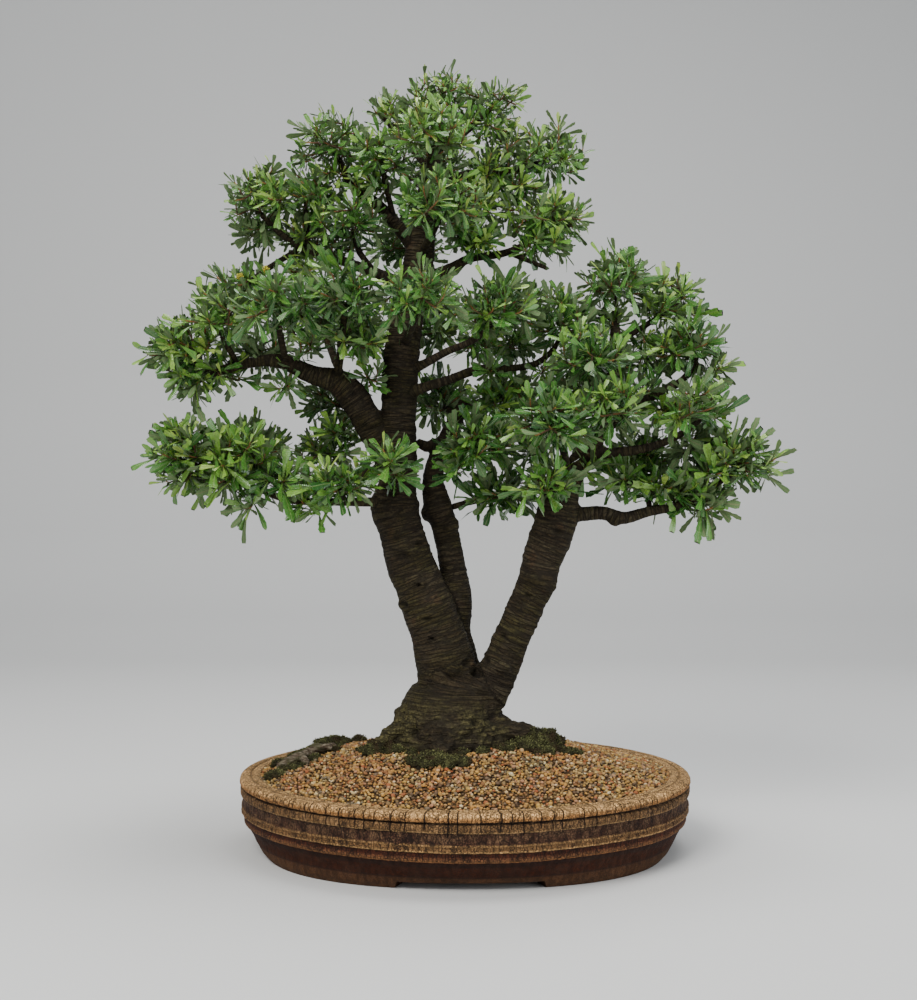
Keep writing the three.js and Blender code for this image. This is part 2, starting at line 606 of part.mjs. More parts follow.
// One wedge leaf from its root: shoulders, two teeth and a notch at the blunt tip, flat above, keeled below.
function leafSolid(root, along, up, length, width, grow = 0) {
  const side = new THREE.Vector3().crossVectors(along, up).normalize();
  const top = new THREE.Vector3().crossVectors(side, along).normalize();
  const long = length + grow;
  const half = width / 2 + grow;
  const at = (u, v, w) => root.clone()
    .addScaledVector(along, u * long)
    .addScaledVector(side, v * half)
    .addScaledVector(top, w);
  const outline = [
    at(0, 0, grow),
    at(LEAF_SHOULDER, 1, grow + LEAF_CUP),
    at(1, LEAF_TOOTH, grow - LEAF_DROOP),
    at(LEAF_NOTCH, 0, grow - LEAF_DROOP * LEAF_NOTCH),
    at(1, -LEAF_TOOTH, grow - LEAF_DROOP),
    at(LEAF_SHOULDER, -1, grow + LEAF_CUP),
  ];
  const keel = at(LEAF_KEEL_AT, 0, -LEAF_KEEL - grow);
  const points = [...outline, keel];
  const upper = [[0, 1, 5], [1, 2, 3], [1, 3, 5], [5, 3, 4]];
  const lower = outline.map((_, i) => [(i + 1) % 6, i, 6]);
  const geometry = new THREE.BufferGeometry();
  geometry.setAttribute("position", new THREE.Float32BufferAttribute(points.flatMap((p) => p.toArray()), 3));
  geometry.setIndex([...upper, ...lower].flat());
  return solidOf(geometry);
}

function boxesMeet(a, b) {
  return a.min.every((low, i) => low < b.max[i] && b.min[i] < a.max[i]);
}

function clearOf(solid, others) {
  const box = solid.boundingBox();
  return others.every((other) => !boxesMeet(box, other.box) || solid.intersect(other.solid).isEmpty());
}

// Leaves stand evenly over the core. One that would meet wood or another spray is turned or shortened, or
// left out.
function leavesOf(index, cores, placed, wood) {
  const [, middle, half] = SPRAYS[index];
  const random = seeded(101 + index);
  const centre = new THREE.Vector3(...middle);
  const size = (half[0] + half[1] + half[2]) / 3;
  const count = Math.round(THREE.MathUtils.clamp(size / LEAF_SPACING, LEAF_FEWEST, LEAF_MOST));
  const others = [wood, ...cores.filter((_, i) => i !== index), ...placed];
  const leaves = [];
  const spin = 2 * Math.PI * random();
  for (let k = 0; k < count; k++) {
    const height = THREE.MathUtils.lerp(LEAF_HIGHEST, LEAF_LOWEST, (k + 0.3) / count);
    const roll = 2 * Math.PI * random();
    const fullness = 0.96 + 0.12 * random();
    for (let attempt = 0; attempt < LEAF_TRIES; attempt++) {
      const turn = spin + k * GOLDEN_ANGLE + LEAF_TRY_TURN * attempt * (attempt % 2 ? 1 : -1);
      const ring = Math.sqrt(1 - height * height);
      const reach = new THREE.Vector3(ring * Math.cos(turn), ring * Math.sin(turn), height);
      reach.multiply(new THREE.Vector3(...half));
      const along = reach.clone().normalize();
      const root = centre.clone().addScaledVector(reach, LEAF_ROOT_SHARE);
      const long = reach.length() * (fullness - LEAF_ROOT_SHARE) * (1 - LEAF_TRY_SHRINK * attempt);
      const width = Math.min(1, long / LEAF_LENGTH) * LEAF_WIDTH;
      const up = new THREE.Vector3(Math.cos(roll), Math.sin(roll), 1.4);
      if (clearOf(leafSolid(root, along, up, long, width, GAP), others)) {
        leaves.push(leafSolid(root, along, up, long, width));
        break;
      }
    }
  }
  return leaves;
}

// Moss and old root

function lumpSolid(middle, half) {
  const geometry = new THREE.IcosahedronGeometry(1, 1);
  const place = geometry.getAttribute("position");
  for (let i = 0; i < place.count; i++) {
    const [x, y, z] = [place.getX(i), place.getY(i), place.getZ(i)];
    const uneven = 1 + LUMP_UNEVENNESS * Math.sin(6 * x + 4 * y + middle[0]) * Math.cos(5 * z + 3 * x);
    const scaled = [x, y, z].map((value, axis) => middle[axis] + value * half[axis] * uneven);
    place.setXYZ(i, ...scaled);
  }
  return solidOf(geometry);
}

// Assembly

const tree = new THREE.Group();

function addPiece(name, solid, colour) {
  const [hex, roughness] = COLOURS[colour];
  const material = new THREE.MeshStandardMaterial({ color: hex, roughness, metalness: 0 });
  const mesh = new THREE.Mesh(geometryOf(mainBody(solid)), material);
  mesh.name = name;
  tree.add(mesh);
}

const wood = woodSolid();
const woodRoom = woodSolid(GAP);
const mixRoom = ovalSolid(mixProfile(GAP, MIX_ROOM_GROWTH));
const oldRoot = limb(OLD_ROOT, 7, 4);
const oldRootRoom = limb(OLD_ROOT, 7, 4, 2 * GAP);
const pebbleRoom = pebbleField(GAP);

addPiece("pot", potSolid(), "pot");
addPiece("drainage_screen_left", screenSolid(-DRAIN_HOLE_X), "screen");
addPiece("drainage_screen_right", screenSolid(DRAIN_HOLE_X), "screen");
addPiece("potting_mix", ovalSolid(mixProfile(0, 0)).subtract(woodRoom), "mix");
addPiece("pebble_dressing", pebbleField().subtract(mixRoom).subtract(woodRoom), "pebbles");
addPiece("trunks_and_branches", wood, "bark");
const mossNeighbours = joined([pebbleRoom, woodRoom, oldRootRoom]);
for (const [name, middle, half] of MOSS) {
  addPiece(name, lumpSolid(middle, half).subtract(mossNeighbours), "moss");
}
addPiece("old_surface_root", oldRoot.subtract(pebbleRoom), "weathered");

const cores = SPRAYS.map(([, middle, half]) => {
  const solid = coreSolid(middle, half, CORE_SHARE);
  return { solid, box: solid.boundingBox() };
});
const woodBody = { solid: wood, box: wood.boundingBox() };
const placed = [];
SPRAYS.forEach(([name], index) => {
  const leaves = leavesOf(index, cores, placed, woodBody);
  leaves.forEach((solid) => placed.push({ solid, box: solid.boundingBox() }));
  addPiece(`foliage_${name}`, joined([cores[index].solid, ...leaves]).subtract(woodRoom), "leaf");
});

export default tree;
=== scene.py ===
"""A silver banksia bonsai in its oval crackled pot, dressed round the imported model."""

import json
import math
import random
from contextlib import contextmanager

import bmesh
import bpy
import numpy as np
from bpy.props import FloatProperty, FloatVectorProperty, IntProperty, PointerProperty
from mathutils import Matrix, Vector, noise

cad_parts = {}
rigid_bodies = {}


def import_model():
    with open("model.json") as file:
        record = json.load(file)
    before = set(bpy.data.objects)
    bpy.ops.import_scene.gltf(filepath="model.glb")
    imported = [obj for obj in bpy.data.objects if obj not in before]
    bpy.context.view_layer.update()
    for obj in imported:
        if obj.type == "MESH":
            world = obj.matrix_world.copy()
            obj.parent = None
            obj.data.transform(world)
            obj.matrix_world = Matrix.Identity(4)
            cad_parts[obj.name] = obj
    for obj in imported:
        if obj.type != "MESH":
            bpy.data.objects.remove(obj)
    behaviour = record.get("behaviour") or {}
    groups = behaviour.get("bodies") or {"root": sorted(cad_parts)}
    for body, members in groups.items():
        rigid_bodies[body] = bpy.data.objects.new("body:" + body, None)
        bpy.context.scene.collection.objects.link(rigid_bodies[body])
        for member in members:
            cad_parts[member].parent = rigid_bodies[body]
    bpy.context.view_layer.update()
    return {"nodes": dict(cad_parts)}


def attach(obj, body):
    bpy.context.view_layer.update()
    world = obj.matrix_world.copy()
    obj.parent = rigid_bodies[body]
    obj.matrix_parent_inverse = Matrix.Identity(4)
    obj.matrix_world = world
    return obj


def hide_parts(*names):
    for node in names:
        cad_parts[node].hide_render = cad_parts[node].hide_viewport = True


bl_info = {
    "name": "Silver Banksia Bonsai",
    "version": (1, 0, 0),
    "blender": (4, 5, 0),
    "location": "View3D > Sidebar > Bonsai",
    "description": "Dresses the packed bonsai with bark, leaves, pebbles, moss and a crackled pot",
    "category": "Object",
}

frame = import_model()

MM = 0.001
BODY = "root"
GOLDEN_ANGLE = math.pi * (3 - math.sqrt(5))

# Pot, in millimetres: half-widths along X, and how narrow the oval is along Y at the foot and at the rim.
POT_HEIGHT = 74
OVAL_AT_FOOT = 0.777
OVAL_AT_RIM = 0.844
FOOT_HEIGHT = 7
FOOT_HALF_WIDTH = 195.5
FOOT_FULLNESS = 0.35
FOOT_GAP_FRONT = 66.5
FOOT_GAP_FRONT_X = 4
FOOT_GAP_SIDE = 48
FLOOR_TOP = 17.5
POT_COLUMNS = 560
DRAIN_HOLE_RADIUS = 15
DRAIN_HOLE_X = 92
HOLE_SIDES = 40
RIM_OUTER = 220.4
MEAN_RADIUS = 215
WALL_STEP = 2.3
# The bands' colours follow the height, go on inward over the rim, and have one value for the whole inside.
INSIDE_PLACE = 100
FOOT_INSIDE = [(175.5, 7), (177.5, 0)]
OUTER_WALL = [
    (195.5, 0), (201.2, 5), (205, 10.2), (208.8, 15.4), (212.4, 22), (214.6, 26.4), (215.6, 28.4),
    (217.8, 29.3), (218.6, 30.4), (218.6, 32.8), (218.2, 34.4), (218.2, 37.2), (220, 38.3), (221.2, 39.4),
    (221, 41.4), (220.2, 43.4), (221.2, 44.5), (221.2, 45.5), (219.9, 46.4), (219.5, 50), (219.6, 54.4),
    (220, 56), (221.8, 56.9), (222, 58.6), (222, 62.4), (221, 63.8), (219.2, 64.4), (219.2, 65.2),
    (221.8, 66.2), (222.7, 67.6), (222.6, 69.6), (221.8, 71.6), (220.2, 73.2), (217.4, 74), (212.4, 74.1),
    (212, 73.1), (211.1, 73.1), (210.6, 74), (206, 74.1), (203.4, 73.8), (202.5, 72.8),
]
INNER_WALL = [(201.2, 66), (198.6, 52), (196.2, 38), (194, 26), (184, 17.5)]

# Fill, in millimetres: the pebbles' height at the pot's wall, how much higher they are at the trunk, and the
# oval that they fill.
PEBBLE_EDGE_Z = 72
MOUND_RISE = 32
BED_HALF_WIDTH = 200.5
BED_OVAL = 0.838
BED_RINGS = 44
BED_STEPS = 130
PEBBLE_KINDS = 6

# The root flare and the three trunks, as [x, y, z, radius] in millimetres from the root up.
FLARE = [
    (-14, 10, 46, 46), (-14, 10, 78, 60), (-14, 10, 98, 64), (-14, 10, 110, 60), (-14, 11, 122, 57),
    (-12, 12, 134, 50), (-8, 13, 144, 42), (-6, 14, 158, 33),
]
MAIN_TRUNK = [
    (-12, 14, 140, 33), (-19, 15, 173, 30), (-26, 15, 203, 27.5), (-37, 15, 233, 27), (-48, 15, 261, 24.5),
    (-56, 15, 281, 24), (-64, 15, 312, 22.5), (-71, 15, 337, 24), (-68, 14, 362, 19.5), (-67, 13, 413, 17.8),
    (-65, 12, 483, 18), (-62, 12, 510, 17.5),
]
MAIN_LEADER = [
    (-65, 12, 486, 17.5), (-56, 12, 543, 16.5), (-46, 12, 590, 15), (-40, 10, 630, 12.5), (-34, 8, 676, 9),
    (-27, 4, 722, 5), (-24, 0, 748, 2.5),
]
REAR_TRUNK = [
    (0, 30, 140, 27), (-3, 34, 176, 18), (-8, 36, 206, 14.5), (-8, 36, 243, 15.8), (-13, 36, 277, 13.4),
    (-20, 36, 313, 13.4), (-28, 36, 338, 15), (-33, 36, 364, 10.5), (-30, 36, 380, 10.5),
]
REAR_LEADER = [
    (-33, 36, 366, 10.3), (-28, 37, 385, 10.3), (-20, 39, 405, 9), (-9, 42, 427, 8), (0, 46, 447, 5),
]
RIGHT_TRUNK = [
    (12, 8, 130, 24), (25, 6, 152, 20.5), (42, 5, 192, 19), (53, 4, 218, 18), (64, 3, 243, 18),
    (73, 2, 263, 20), (77, 1, 283, 19.5), (85, 0, 303, 21.5), (91, 0, 323, 21), (95, 0, 343, 19),
    (99, 0, 358, 15),
]
RIGHT_LEADER = [
    (96, 0, 346, 14), (112, -2, 378, 11.5), (126, -3, 398, 9.5), (140, -3, 425, 8.5), (147, -2, 455, 7.5),
    (150, -1, 504, 6), (150, 0, 532, 4),
]
ROOTS = [
    [(16, -5, 112, 20), (50, -9, 111, 13.5), (78, -12, 104, 10), (98, -14, 96, 5)],
    [(-15, -28, 112, 22), (-22, -55, 103, 13), (-30, -75, 96, 7), (-44, -88, 91, 4)],
    [(-48, 0, 118, 20), (-71, -12, 109, 12), (-86, -22, 101, 8), (-95, -30, 95, 4)],
    [(-40, 40, 116, 20), (-60, 62, 105, 12), (-75, 82, 95, 5)],
    [(18, 44, 116, 20), (38, 66, 105, 12), (50, 84, 95, 5)],
]
TRUNKS = [FLARE, MAIN_TRUNK, MAIN_LEADER, REAR_TRUNK, REAR_LEADER, RIGHT_TRUNK, RIGHT_LEADER]

# Main branches, each from inside what carries it to its end.
BRANCHES = [
    [(-70, 12, 372, 14), (-93, 8, 412, 14.5), (-111, 4, 445, 15.5), (-128, 0, 461, 12.5),
     (-150, -3, 467, 9.5), (-180, -6, 480, 8), (-201, -8, 481, 5.8), (-225, -11, 476, 5.2),
     (-249, -13, 469, 4.4), (-270, -15, 478, 3), (-288, -18, 491, 2.2)],
    [(-70, 8, 339, 8), (-93, 0, 341, 4.8), (-131, -14, 341, 3.8), (-174, -24, 343, 3.6),
     (-201, -27, 353, 3.4), (-232, -29, 364, 3), (-262, -30, 376, 2.5), (-286, -32, 385, 2.2)],
    [(-68, 14, 366, 8), (-94, 14, 372, 5.6), (-130, 16, 364, 5.2), (-160, 14, 365, 4.8),
     (-189, 6, 368, 4.2), (-210, -12, 374, 3), (-220, -36, 380, 2.2)],
    [(-58, 6, 450, 8), (-43, 2, 455, 5.4), (-13, -4, 464, 4.6), (13, -6, 473, 4.2), (45, -6, 474, 3.6),
     (72, 0, 480, 3.2), (90, 4, 496, 2.6), (98, 3, 514, 2.2)],
    [(-56, 8, 473, 6), (-40, 2, 480, 4.4), (-18, -4, 491, 3.8), (10, -12, 502, 3.2), (34, -30, 522, 2.2)],
    [(-50, 12, 560, 8), (-34, 8, 568, 6), (-10, 4, 578, 5), (5, 2, 585, 4.4), (40, -1, 590, 3.6),
     (64, -3, 601, 2.8), (80, -6, 617, 2.2)],
    [(-44, 12, 594, 10), (-60, 9, 610, 7.4), (-85, 5, 637, 6.2), (-112, 2, 657, 5), (-130, -2, 690, 2.4)],
    [(-55, 14, 556, 9), (-88, 17, 572, 6), (-120, 14, 584, 5), (-158, 10, 594, 4.2), (-184, 6, 610, 3.4),
     (-210, 1, 635, 2.2)],
    [(88, 3, 327, 12), (108, 0, 328, 7.6), (138, -2, 330, 7), (157, -3, 325, 6.6), (184, -6, 332, 5.2),
     (219, -9, 339, 4.2), (245, -12, 356, 3), (270, -13, 372, 2.2)],
    [(132, -3, 410, 8), (152, -1, 428, 6), (176, 0, 443, 5.2), (200, -3, 452, 4.2), (220, -6, 466, 3.4),
     (232, -9, 488, 2.2)],
    [(124, -3, 390, 8), (148, -6, 390, 5), (178, -10, 394, 4.4), (206, -15, 404, 3.6),
     (235, -36, 425, 2.2)],
    [(46, -1, 590, 3.4), (62, -4, 582, 2.4), (80, -6, 574, 2)],
    [(-30, 36, 404, 5), (-39, 30, 398, 5.6), (-48, 24, 402, 4.4)],
]

# Leafy sprays by the piece they are in: name, middle, half-sizes, and its own branchlet where it has one.
SPRAYS = {
    "leaves_top": [
        ("apex", (-26, -4, 745), (42, 38, 38), [(-30, 6, 700, 6), (-26, -2, 743, 2.5)]),
        ("apex_right", (36, 2, 738), (30, 28, 26), [(-32, 7, 690, 6), (0, 4, 712, 3.4), (30, 2, 738, 2.2)]),
        ("apex_left", (-86, 10, 732), (26, 27, 22),
         [(-36, 8, 676, 6), (-62, 9, 706, 3.2), (-82, 10, 728, 2.2)]),
        ("crown_front", (-32, -58, 690), (50, 44, 40),
         [(-38, 8, 640, 8), (-35, -25, 662, 4), (-32, -50, 684, 2.6)]),
        ("crown_right", (84, -4, 684), (46, 46, 38),
         [(-37, 8, 650, 8), (0, 2, 668, 4.6), (45, -2, 672, 3.6), (78, -4, 680, 2.4)]),
        ("crown_inner_right", (28, 8, 668), (38, 42, 34),
         [(-38, 8, 640, 8), (-10, 8, 652, 3.6), (22, 8, 664, 2.4)]),
        ("crown_left", (-132, -4, 694), (52, 46, 38), None),
        ("crown_inner_left", (-82, -22, 676), (38, 40, 36),
         [(-70, 8, 622, 5), (-78, -10, 652, 3), (-82, -20, 672, 2.2)]),
        ("crown_back", (-32, 74, 692), (54, 48, 42),
         [(-37, 10, 648, 8), (-34, 44, 668, 4), (-32, 68, 686, 2.6)]),
    ],
    "leaves_upper": [
        ("upper_left", (-214, 0, 640), (42, 44, 40), None),
        ("upper_left_inner", (-160, 6, 648), (38, 42, 38),
         [(-158, 10, 594, 4), (-160, 8, 622, 3), (-160, 6, 642, 2.2)]),
        ("upper_front", (-20, -74, 618), (52, 44, 42),
         [(-44, 10, 590, 9), (-34, -28, 600, 4.4), (-22, -66, 614, 2.6)]),
        ("upper_right", (82, -6, 622), (48, 48, 36), None),
        ("upper_back", (-62, 108, 622), (52, 46, 42),
         [(-42, 12, 604, 9), (-52, 60, 612, 4.4), (-60, 100, 618, 2.6)]),
        ("inner_left", (-112, -18, 616), (42, 40, 34),
         [(-90, 16, 573, 4.6), (-106, 0, 592, 3.2), (-111, -14, 610, 2.2)]),
        ("back_left_high", (-238, 52, 560), (44, 44, 34),
         [(-166, 10, 597, 3.6), (-202, 28, 580, 3), (-232, 47, 564, 2.2)]),
    ],
    "leaves_left": [
        ("far_left", (-290, -18, 496), (42, 44, 40), None),
        ("left_outer", (-240, -42, 516), (38, 40, 36),
         [(-225, -11, 477, 4.4), (-234, -28, 496, 3), (-238, -38, 510, 2.2)]),
        ("left_front", (-178, -74, 522), (44, 42, 38),
         [(-178, -6, 479, 6), (-178, -40, 498, 3.4), (-178, -68, 516, 2.4)]),
        ("left_inner_front", (-112, -80, 532), (44, 42, 38),
         [(-128, 0, 461, 8), (-120, -36, 494, 3.8), (-113, -74, 526, 2.4)]),
        ("left_low_inner", (-122, -34, 492), (32, 32, 28),
         [(-130, -1, 462, 7), (-125, -20, 478, 3), (-123, -30, 488, 2.2)]),
        ("left_back", (-150, 62, 528), (48, 44, 40),
         [(-116, 4, 450, 8), (-134, 36, 488, 4), (-148, 56, 522, 2.4)]),
        ("gap_left_back", (-140, 46, 446), (34, 32, 28),
         [(-100, 8, 428, 8), (-120, 28, 438, 3.2), (-136, 42, 444, 2.2)]),
    ],
    "leaves_middle": [
        ("middle_front", (-42, -104, 524), (48, 40, 38),
         [(-60, 8, 500, 12), (-52, -50, 508, 4.4), (-43, -96, 520, 2.6)]),
        ("middle_back", (-46, 106, 530), (52, 46, 42),
         [(-60, 16, 500, 12), (-52, 60, 514, 4.4), (-47, 98, 526, 2.6)]),
        ("middle_right", (36, -34, 528), (48, 44, 42), None),
        ("right_mid_outer", (100, 2, 520), (40, 42, 40), None),
        ("right_back_mid", (50, 88, 548), (50, 44, 42),
         [(-50, 14, 540, 10), (0, 50, 540, 4.4), (44, 82, 545, 2.6)]),
        ("centre_back_low", (-28, 92, 450), (44, 40, 34),
         [(-6, 43, 430, 6), (-18, 68, 440, 3.4), (-26, 86, 447, 2.4)]),
        ("centre_right_low", (44, 20, 450), (44, 40, 34),
         [(-4, 44, 438, 5), (18, 36, 446, 3.2), (38, 24, 449, 2.2)]),
    ],
    "leaves_low_left": [
        ("low_far_left", (-290, -32, 388), (42, 42, 38), None),
        ("low_left", (-222, -40, 384), (38, 38, 36), None),
        ("low_left_mid", (-220, 48, 398), (42, 40, 32),
         [(-186, 8, 368, 4.2), (-206, 28, 386, 3), (-217, 44, 395, 2.2)]),
        ("low_left_back", (-148, 44, 392), (38, 34, 26),
         [(-134, 16, 364, 4.8), (-142, 32, 380, 2.8), (-147, 41, 389, 2.2)]),
        ("low_left_front", (-122, -42, 356), (34, 30, 25),
         [(-118, -10, 341, 4), (-121, -30, 350, 2.6), (-122, -39, 354, 2)]),
        ("trunk_front", (-74, -46, 372), (24, 22, 30),
         [(-66, 6, 372, 10), (-72, -26, 371, 2.8), (-74, -42, 372, 2)]),
    ],
    "leaves_right": [
        ("right_top", (152, -2, 560), (44, 44, 38), [(150, -1, 520, 5), (152, -2, 552, 2.4)]),
        ("right_top_outer", (210, 26, 540), (40, 42, 38),
         [(151, -1, 500, 5.6), (180, 10, 518, 3), (206, 24, 536, 2.2)]),
        ("right_outer", (236, -10, 492), (42, 42, 36), None),
        ("right_inner", (120, -46, 478), (42, 38, 34),
         [(146, -2, 452, 6), (132, -26, 466, 3), (123, -41, 475, 2.2)]),
        ("right_mid_low", (238, -40, 428), (38, 40, 30), None),
        ("right_front_high", (154, -72, 424), (40, 38, 34),
         [(132, -3, 408, 8), (146, -40, 416, 3.4), (153, -66, 422, 2.4)]),
        ("right_back", (132, 84, 470), (52, 46, 42),
         [(136, -2, 418, 8), (134, 44, 446, 4), (132, 78, 465, 2.6)]),
    ],
    "leaves_low_right": [
        ("right_front", (84, -84, 412), (48, 42, 40),
         [(104, -1, 366, 10), (94, -44, 392, 4), (86, -78, 407, 2.4)]),
        ("centre_low", (16, -26, 394), (44, 42, 42),
         [(-28, 36, 380, 8), (-8, 8, 386, 3.6), (12, -20, 392, 2.4)]),
        ("right_low_inner", (184, 40, 386), (42, 42, 32),
         [(184, -5, 333, 4.6), (184, 16, 360, 3), (184, 36, 381, 2.2)]),
        ("right_low_outer", (276, -14, 376), (50, 42, 40), None),
        ("low_band", (40, 22, 348), (40, 38, 22), [(-22, 36, 334, 8), (8, 32, 342, 3.2), (35, 24, 346, 2.2)]),
        ("fork_front", (82, -44, 354), (32, 28, 24),
         [(94, 0, 345, 12), (86, -28, 351, 3.4), (83, -40, 353, 2.2)]),
    ],
}

# Small tufts between the sprays, by the piece they are in: middle and half-sizes.
TUFTS = {
    "leaves_top": [
        ((27, 2, 710), (22, 26, 20)), ((5, 0, 748), (14, 20, 16)), ((4, -10, 716), (16, 18, 14)),
        ((45, 0, 702), (18, 22, 20)), ((-196, 0, 668), (14, 18, 10)), ((-135, 0, 668), (18, 20, 14)),
        ((-95, -6, 655), (26, 24, 14)), ((60, 0, 652), (30, 24, 14)), ((45, -6, 634), (16, 18, 14)),
    ],
    "leaves_upper": [
        ((-216, 20, 611), (28, 28, 16)), ((-168, 20, 610), (34, 34, 20)), ((-127, 20, 602), (26, 30, 18)),
        ((0, -10, 609), (34, 36, 24)), ((78, -8, 594), (34, 30, 18)), ((15, -10, 632), (26, 34, 28)),
        ((-165, 10, 575), (26, 30, 18)), ((15, -14, 596), (22, 24, 18)),
    ],
    "leaves_left": [
        ((-206, 20, 494), (36, 30, 20)), ((-275, -10, 466), (30, 26, 18)), ((-238, -10, 468), (24, 24, 14)),
        ((-179, -10, 454), (14, 16, 15)), ((-96, 10, 505), (18, 26, 32)), ((-155, -10, 496), (16, 20, 14)),
        ((-95, 0, 463), (14, 18, 18)), ((-272, -10, 450), (13, 16, 12)),
    ],
    "leaves_middle": [
        ((16, 60, 504), (34, 30, 18)), ((53, 50, 504), (32, 28, 18)), ((72, 20, 392), (20, 24, 20)),
        ((25, -6, 474), (14, 18, 12)), ((85, 0, 474), (14, 18, 14)),
    ],
    "leaves_low_left": [
        ((-272, -30, 362), (30, 28, 14)), ((-234, -30, 360), (30, 28, 15)), ((-185, -30, 361), (32, 28, 14)),
        ((-210, -30, 336), (11, 14, 15)), ((-130, 24, 412), (22, 22, 16)), ((-153, -30, 338), (14, 20, 12)),
    ],
    "leaves_right": [
        ((187, 10, 489), (18, 24, 30)), ((227, 0, 394), (18, 26, 20)), ((157, 20, 480), (34, 26, 14)),
        ((203, 0, 431), (14, 20, 20)), ((146, 0, 524), (16, 20, 18)), ((252, -6, 470), (17, 20, 14)),
        ((185, 0, 455), (16, 18, 14)),
    ],
    "leaves_low_right": [
        ((158, 0, 358), (26, 26, 14)), ((190, -4, 353), (28, 26, 15)), ((225, -6, 346), (26, 26, 22)),
        ((243, -8, 336), (18, 22, 18)), ((-10, -30, 378), (14, 16, 22)), ((125, -6, 374), (16, 18, 14)),
    ],
}

# How far the leaves of some sprays sit from their spray's middle.
SHIFTS = {
    "far_left": (11, 0, -6), "low_far_left": (13, 0, 0), "upper_left": (9, 0, 0), "apex_left": (10, 0, 0),
    "right_outer": (-18, 0, 0), "right_mid_low": (-14, 0, 0), "right_low_outer": (-8, 0, 0),
    "right_front_high": (-15, 0, 4), "centre_right_low": (0, 0, -8), "left_low_inner": (16, 0, 6),
    "apex": (-2, 0, -5),
}

# Young flower buds, in millimetres: the middle and half-size of each cluster.
BUDS = [((147, -62, 446), 6.5), ((-194, -34, 566), 4), ((-222, -16, 563), 3.5), ((-166, -66, 545), 3.5)]

BUDS_IN_CLUSTER = 26

# Moss: CAD node, middle, half-sizes.
MOSS = [
    ("moss_right", (72, -14, 101), (32, 24, 19)),
    ("moss_front", (-27, -74, 96), (28, 17, 10)),
    ("moss_left", (-86, -24, 99), (15, 17, 10)),
    ("moss_back_left", (-139, 60, 86), (30, 17, 11)),
]
# Smaller clumps of moss by the piece they are in: x, y and half-sizes.
CLUMPS = {
    "moss_round_old_root": [
        (-183, -42, (10, 8, 6)), (-164, -31, (9, 7, 4.5)), (-182, 4, (12, 10, 6)), (-148, -14, (8, 7, 5)),
        (-166, 24, (14, 10, 6)), (-176, -28, (7, 6, 4)), (-130, 8, (7, 6, 4)),
    ],
    "moss_at_trunk_foot": [
        (-68, -38, (10, 7, 6)), (-51, -50, (6, 6, 4)), (-4, -57, (8, 6, 5)), (17, -52, (6, 6, 5)),
        (38, -40, (10, 7, 6)), (-100, -18, (8, 7, 4)), (106, -22, (9, 7, 4)),
    ],
}
OLD_ROOT = [(-184, -24, 81, 4), (-168, -13, 86, 5.6), (-149, 8, 91, 5.4), (-133, 25, 92, 3.6)]
OLD_ROOT_STUBS = [[(-164, -10, 88, 5), (-158, -22, 88, 4), (-154, -30, 86, 2.5)],
                  [(-150, 4, 93, 5), (-140, 0, 96, 3.6), (-133, -3, 96, 2.4)]]
OLD_ROOT_GRAIN = 0.0009


# Settings

class PotSettings(bpy.types.PropertyGroup):
    crack_depth: FloatProperty(
        name="Crack Depth", description="How deep the cracks over the lip are", default=0.0012,
        min=0, unit="LENGTH")
    crack_spacing: FloatProperty(
        name="Crack Spacing", description="Mean distance between the cracks over the lip", default=0.0135,
        min=0.004, unit="LENGTH")
    ridge_colour: FloatVectorProperty(
        name="Ridge Colour", description="Bare clay on the throwing ridges", default=(0.66, 0.38, 0.15),
        size=3, subtype="COLOR")
    lip_colour: FloatVectorProperty(
        name="Lip Colour", description="Orange clay on the lip's face", default=(0.58, 0.27, 0.085), size=3,
        subtype="COLOR")


class GravelSettings(bpy.types.PropertyGroup):
    spacing: FloatProperty(
        name="Pebble Spacing", description="Least distance between pebbles", default=0.0026, min=0.002,
        unit="LENGTH")
    size: FloatProperty(
        name="Pebble Size", description="Diameter of a middling pebble", default=0.0036, min=0.001,
        unit="LENGTH")
    seed: IntProperty(name="Seed", description="Arrangement of the pebbles", default=4, min=0)


class WoodSettings(bpy.types.PropertyGroup):
    grain: FloatProperty(
        name="Surface Grain", description="Size of the bark's mesh", default=0.0021, min=0.001, unit="LENGTH")
    ring_depth: FloatProperty(
        name="Ring Depth", description="Depth of the rings round the trunks", default=0.0011, min=0,
        unit="LENGTH")
    bark_colour: FloatVectorProperty(
        name="Bark Colour", description="Bark on top of the rings", default=(0.06, 0.048, 0.027), size=3,
        subtype="COLOR")


class FoliageSettings(bpy.types.PropertyGroup):
    leaf_length: FloatProperty(
        name="Leaf Length", description="Length of a middling leaf", default=0.0212, min=0.01, unit="LENGTH")
    leaf_width: FloatProperty(
        name="Leaf Width", description="Width of a middling leaf", default=0.005, min=0.002, unit="LENGTH")
    leaves: IntProperty(
        name="Leaves per Shoot", description="Leaves round each shoot's end", default=13, min=3)
    shoots: IntProperty(name="Shoots per Spray", description="Shoots in a middling spray", default=33, min=3)
    seed: IntProperty(name="Seed", description="Arrangement of the leaves", default=7, min=0)
    mature_colour: FloatVectorProperty(
        name="Mature Leaf", description="Top of a full-grown leaf", default=(0.024, 0.098, 0.016), size=3,
        subtype="COLOR")
    young_colour: FloatVectorProperty(
        name="Young Leaf", description="Top of a young leaf", default=(0.18, 0.34, 0.045), size=3,
        subtype="COLOR")


class MossSettings(bpy.types.PropertyGroup):
    tuft: FloatProperty(
        name="Tuft Length", description="Length of a moss frond", default=0.0023, min=0.001, unit="LENGTH")
    spacing: FloatProperty(
        name="Tuft Spacing", description="Least distance between fronds", default=0.00125, min=0.0005,
        unit="LENGTH")


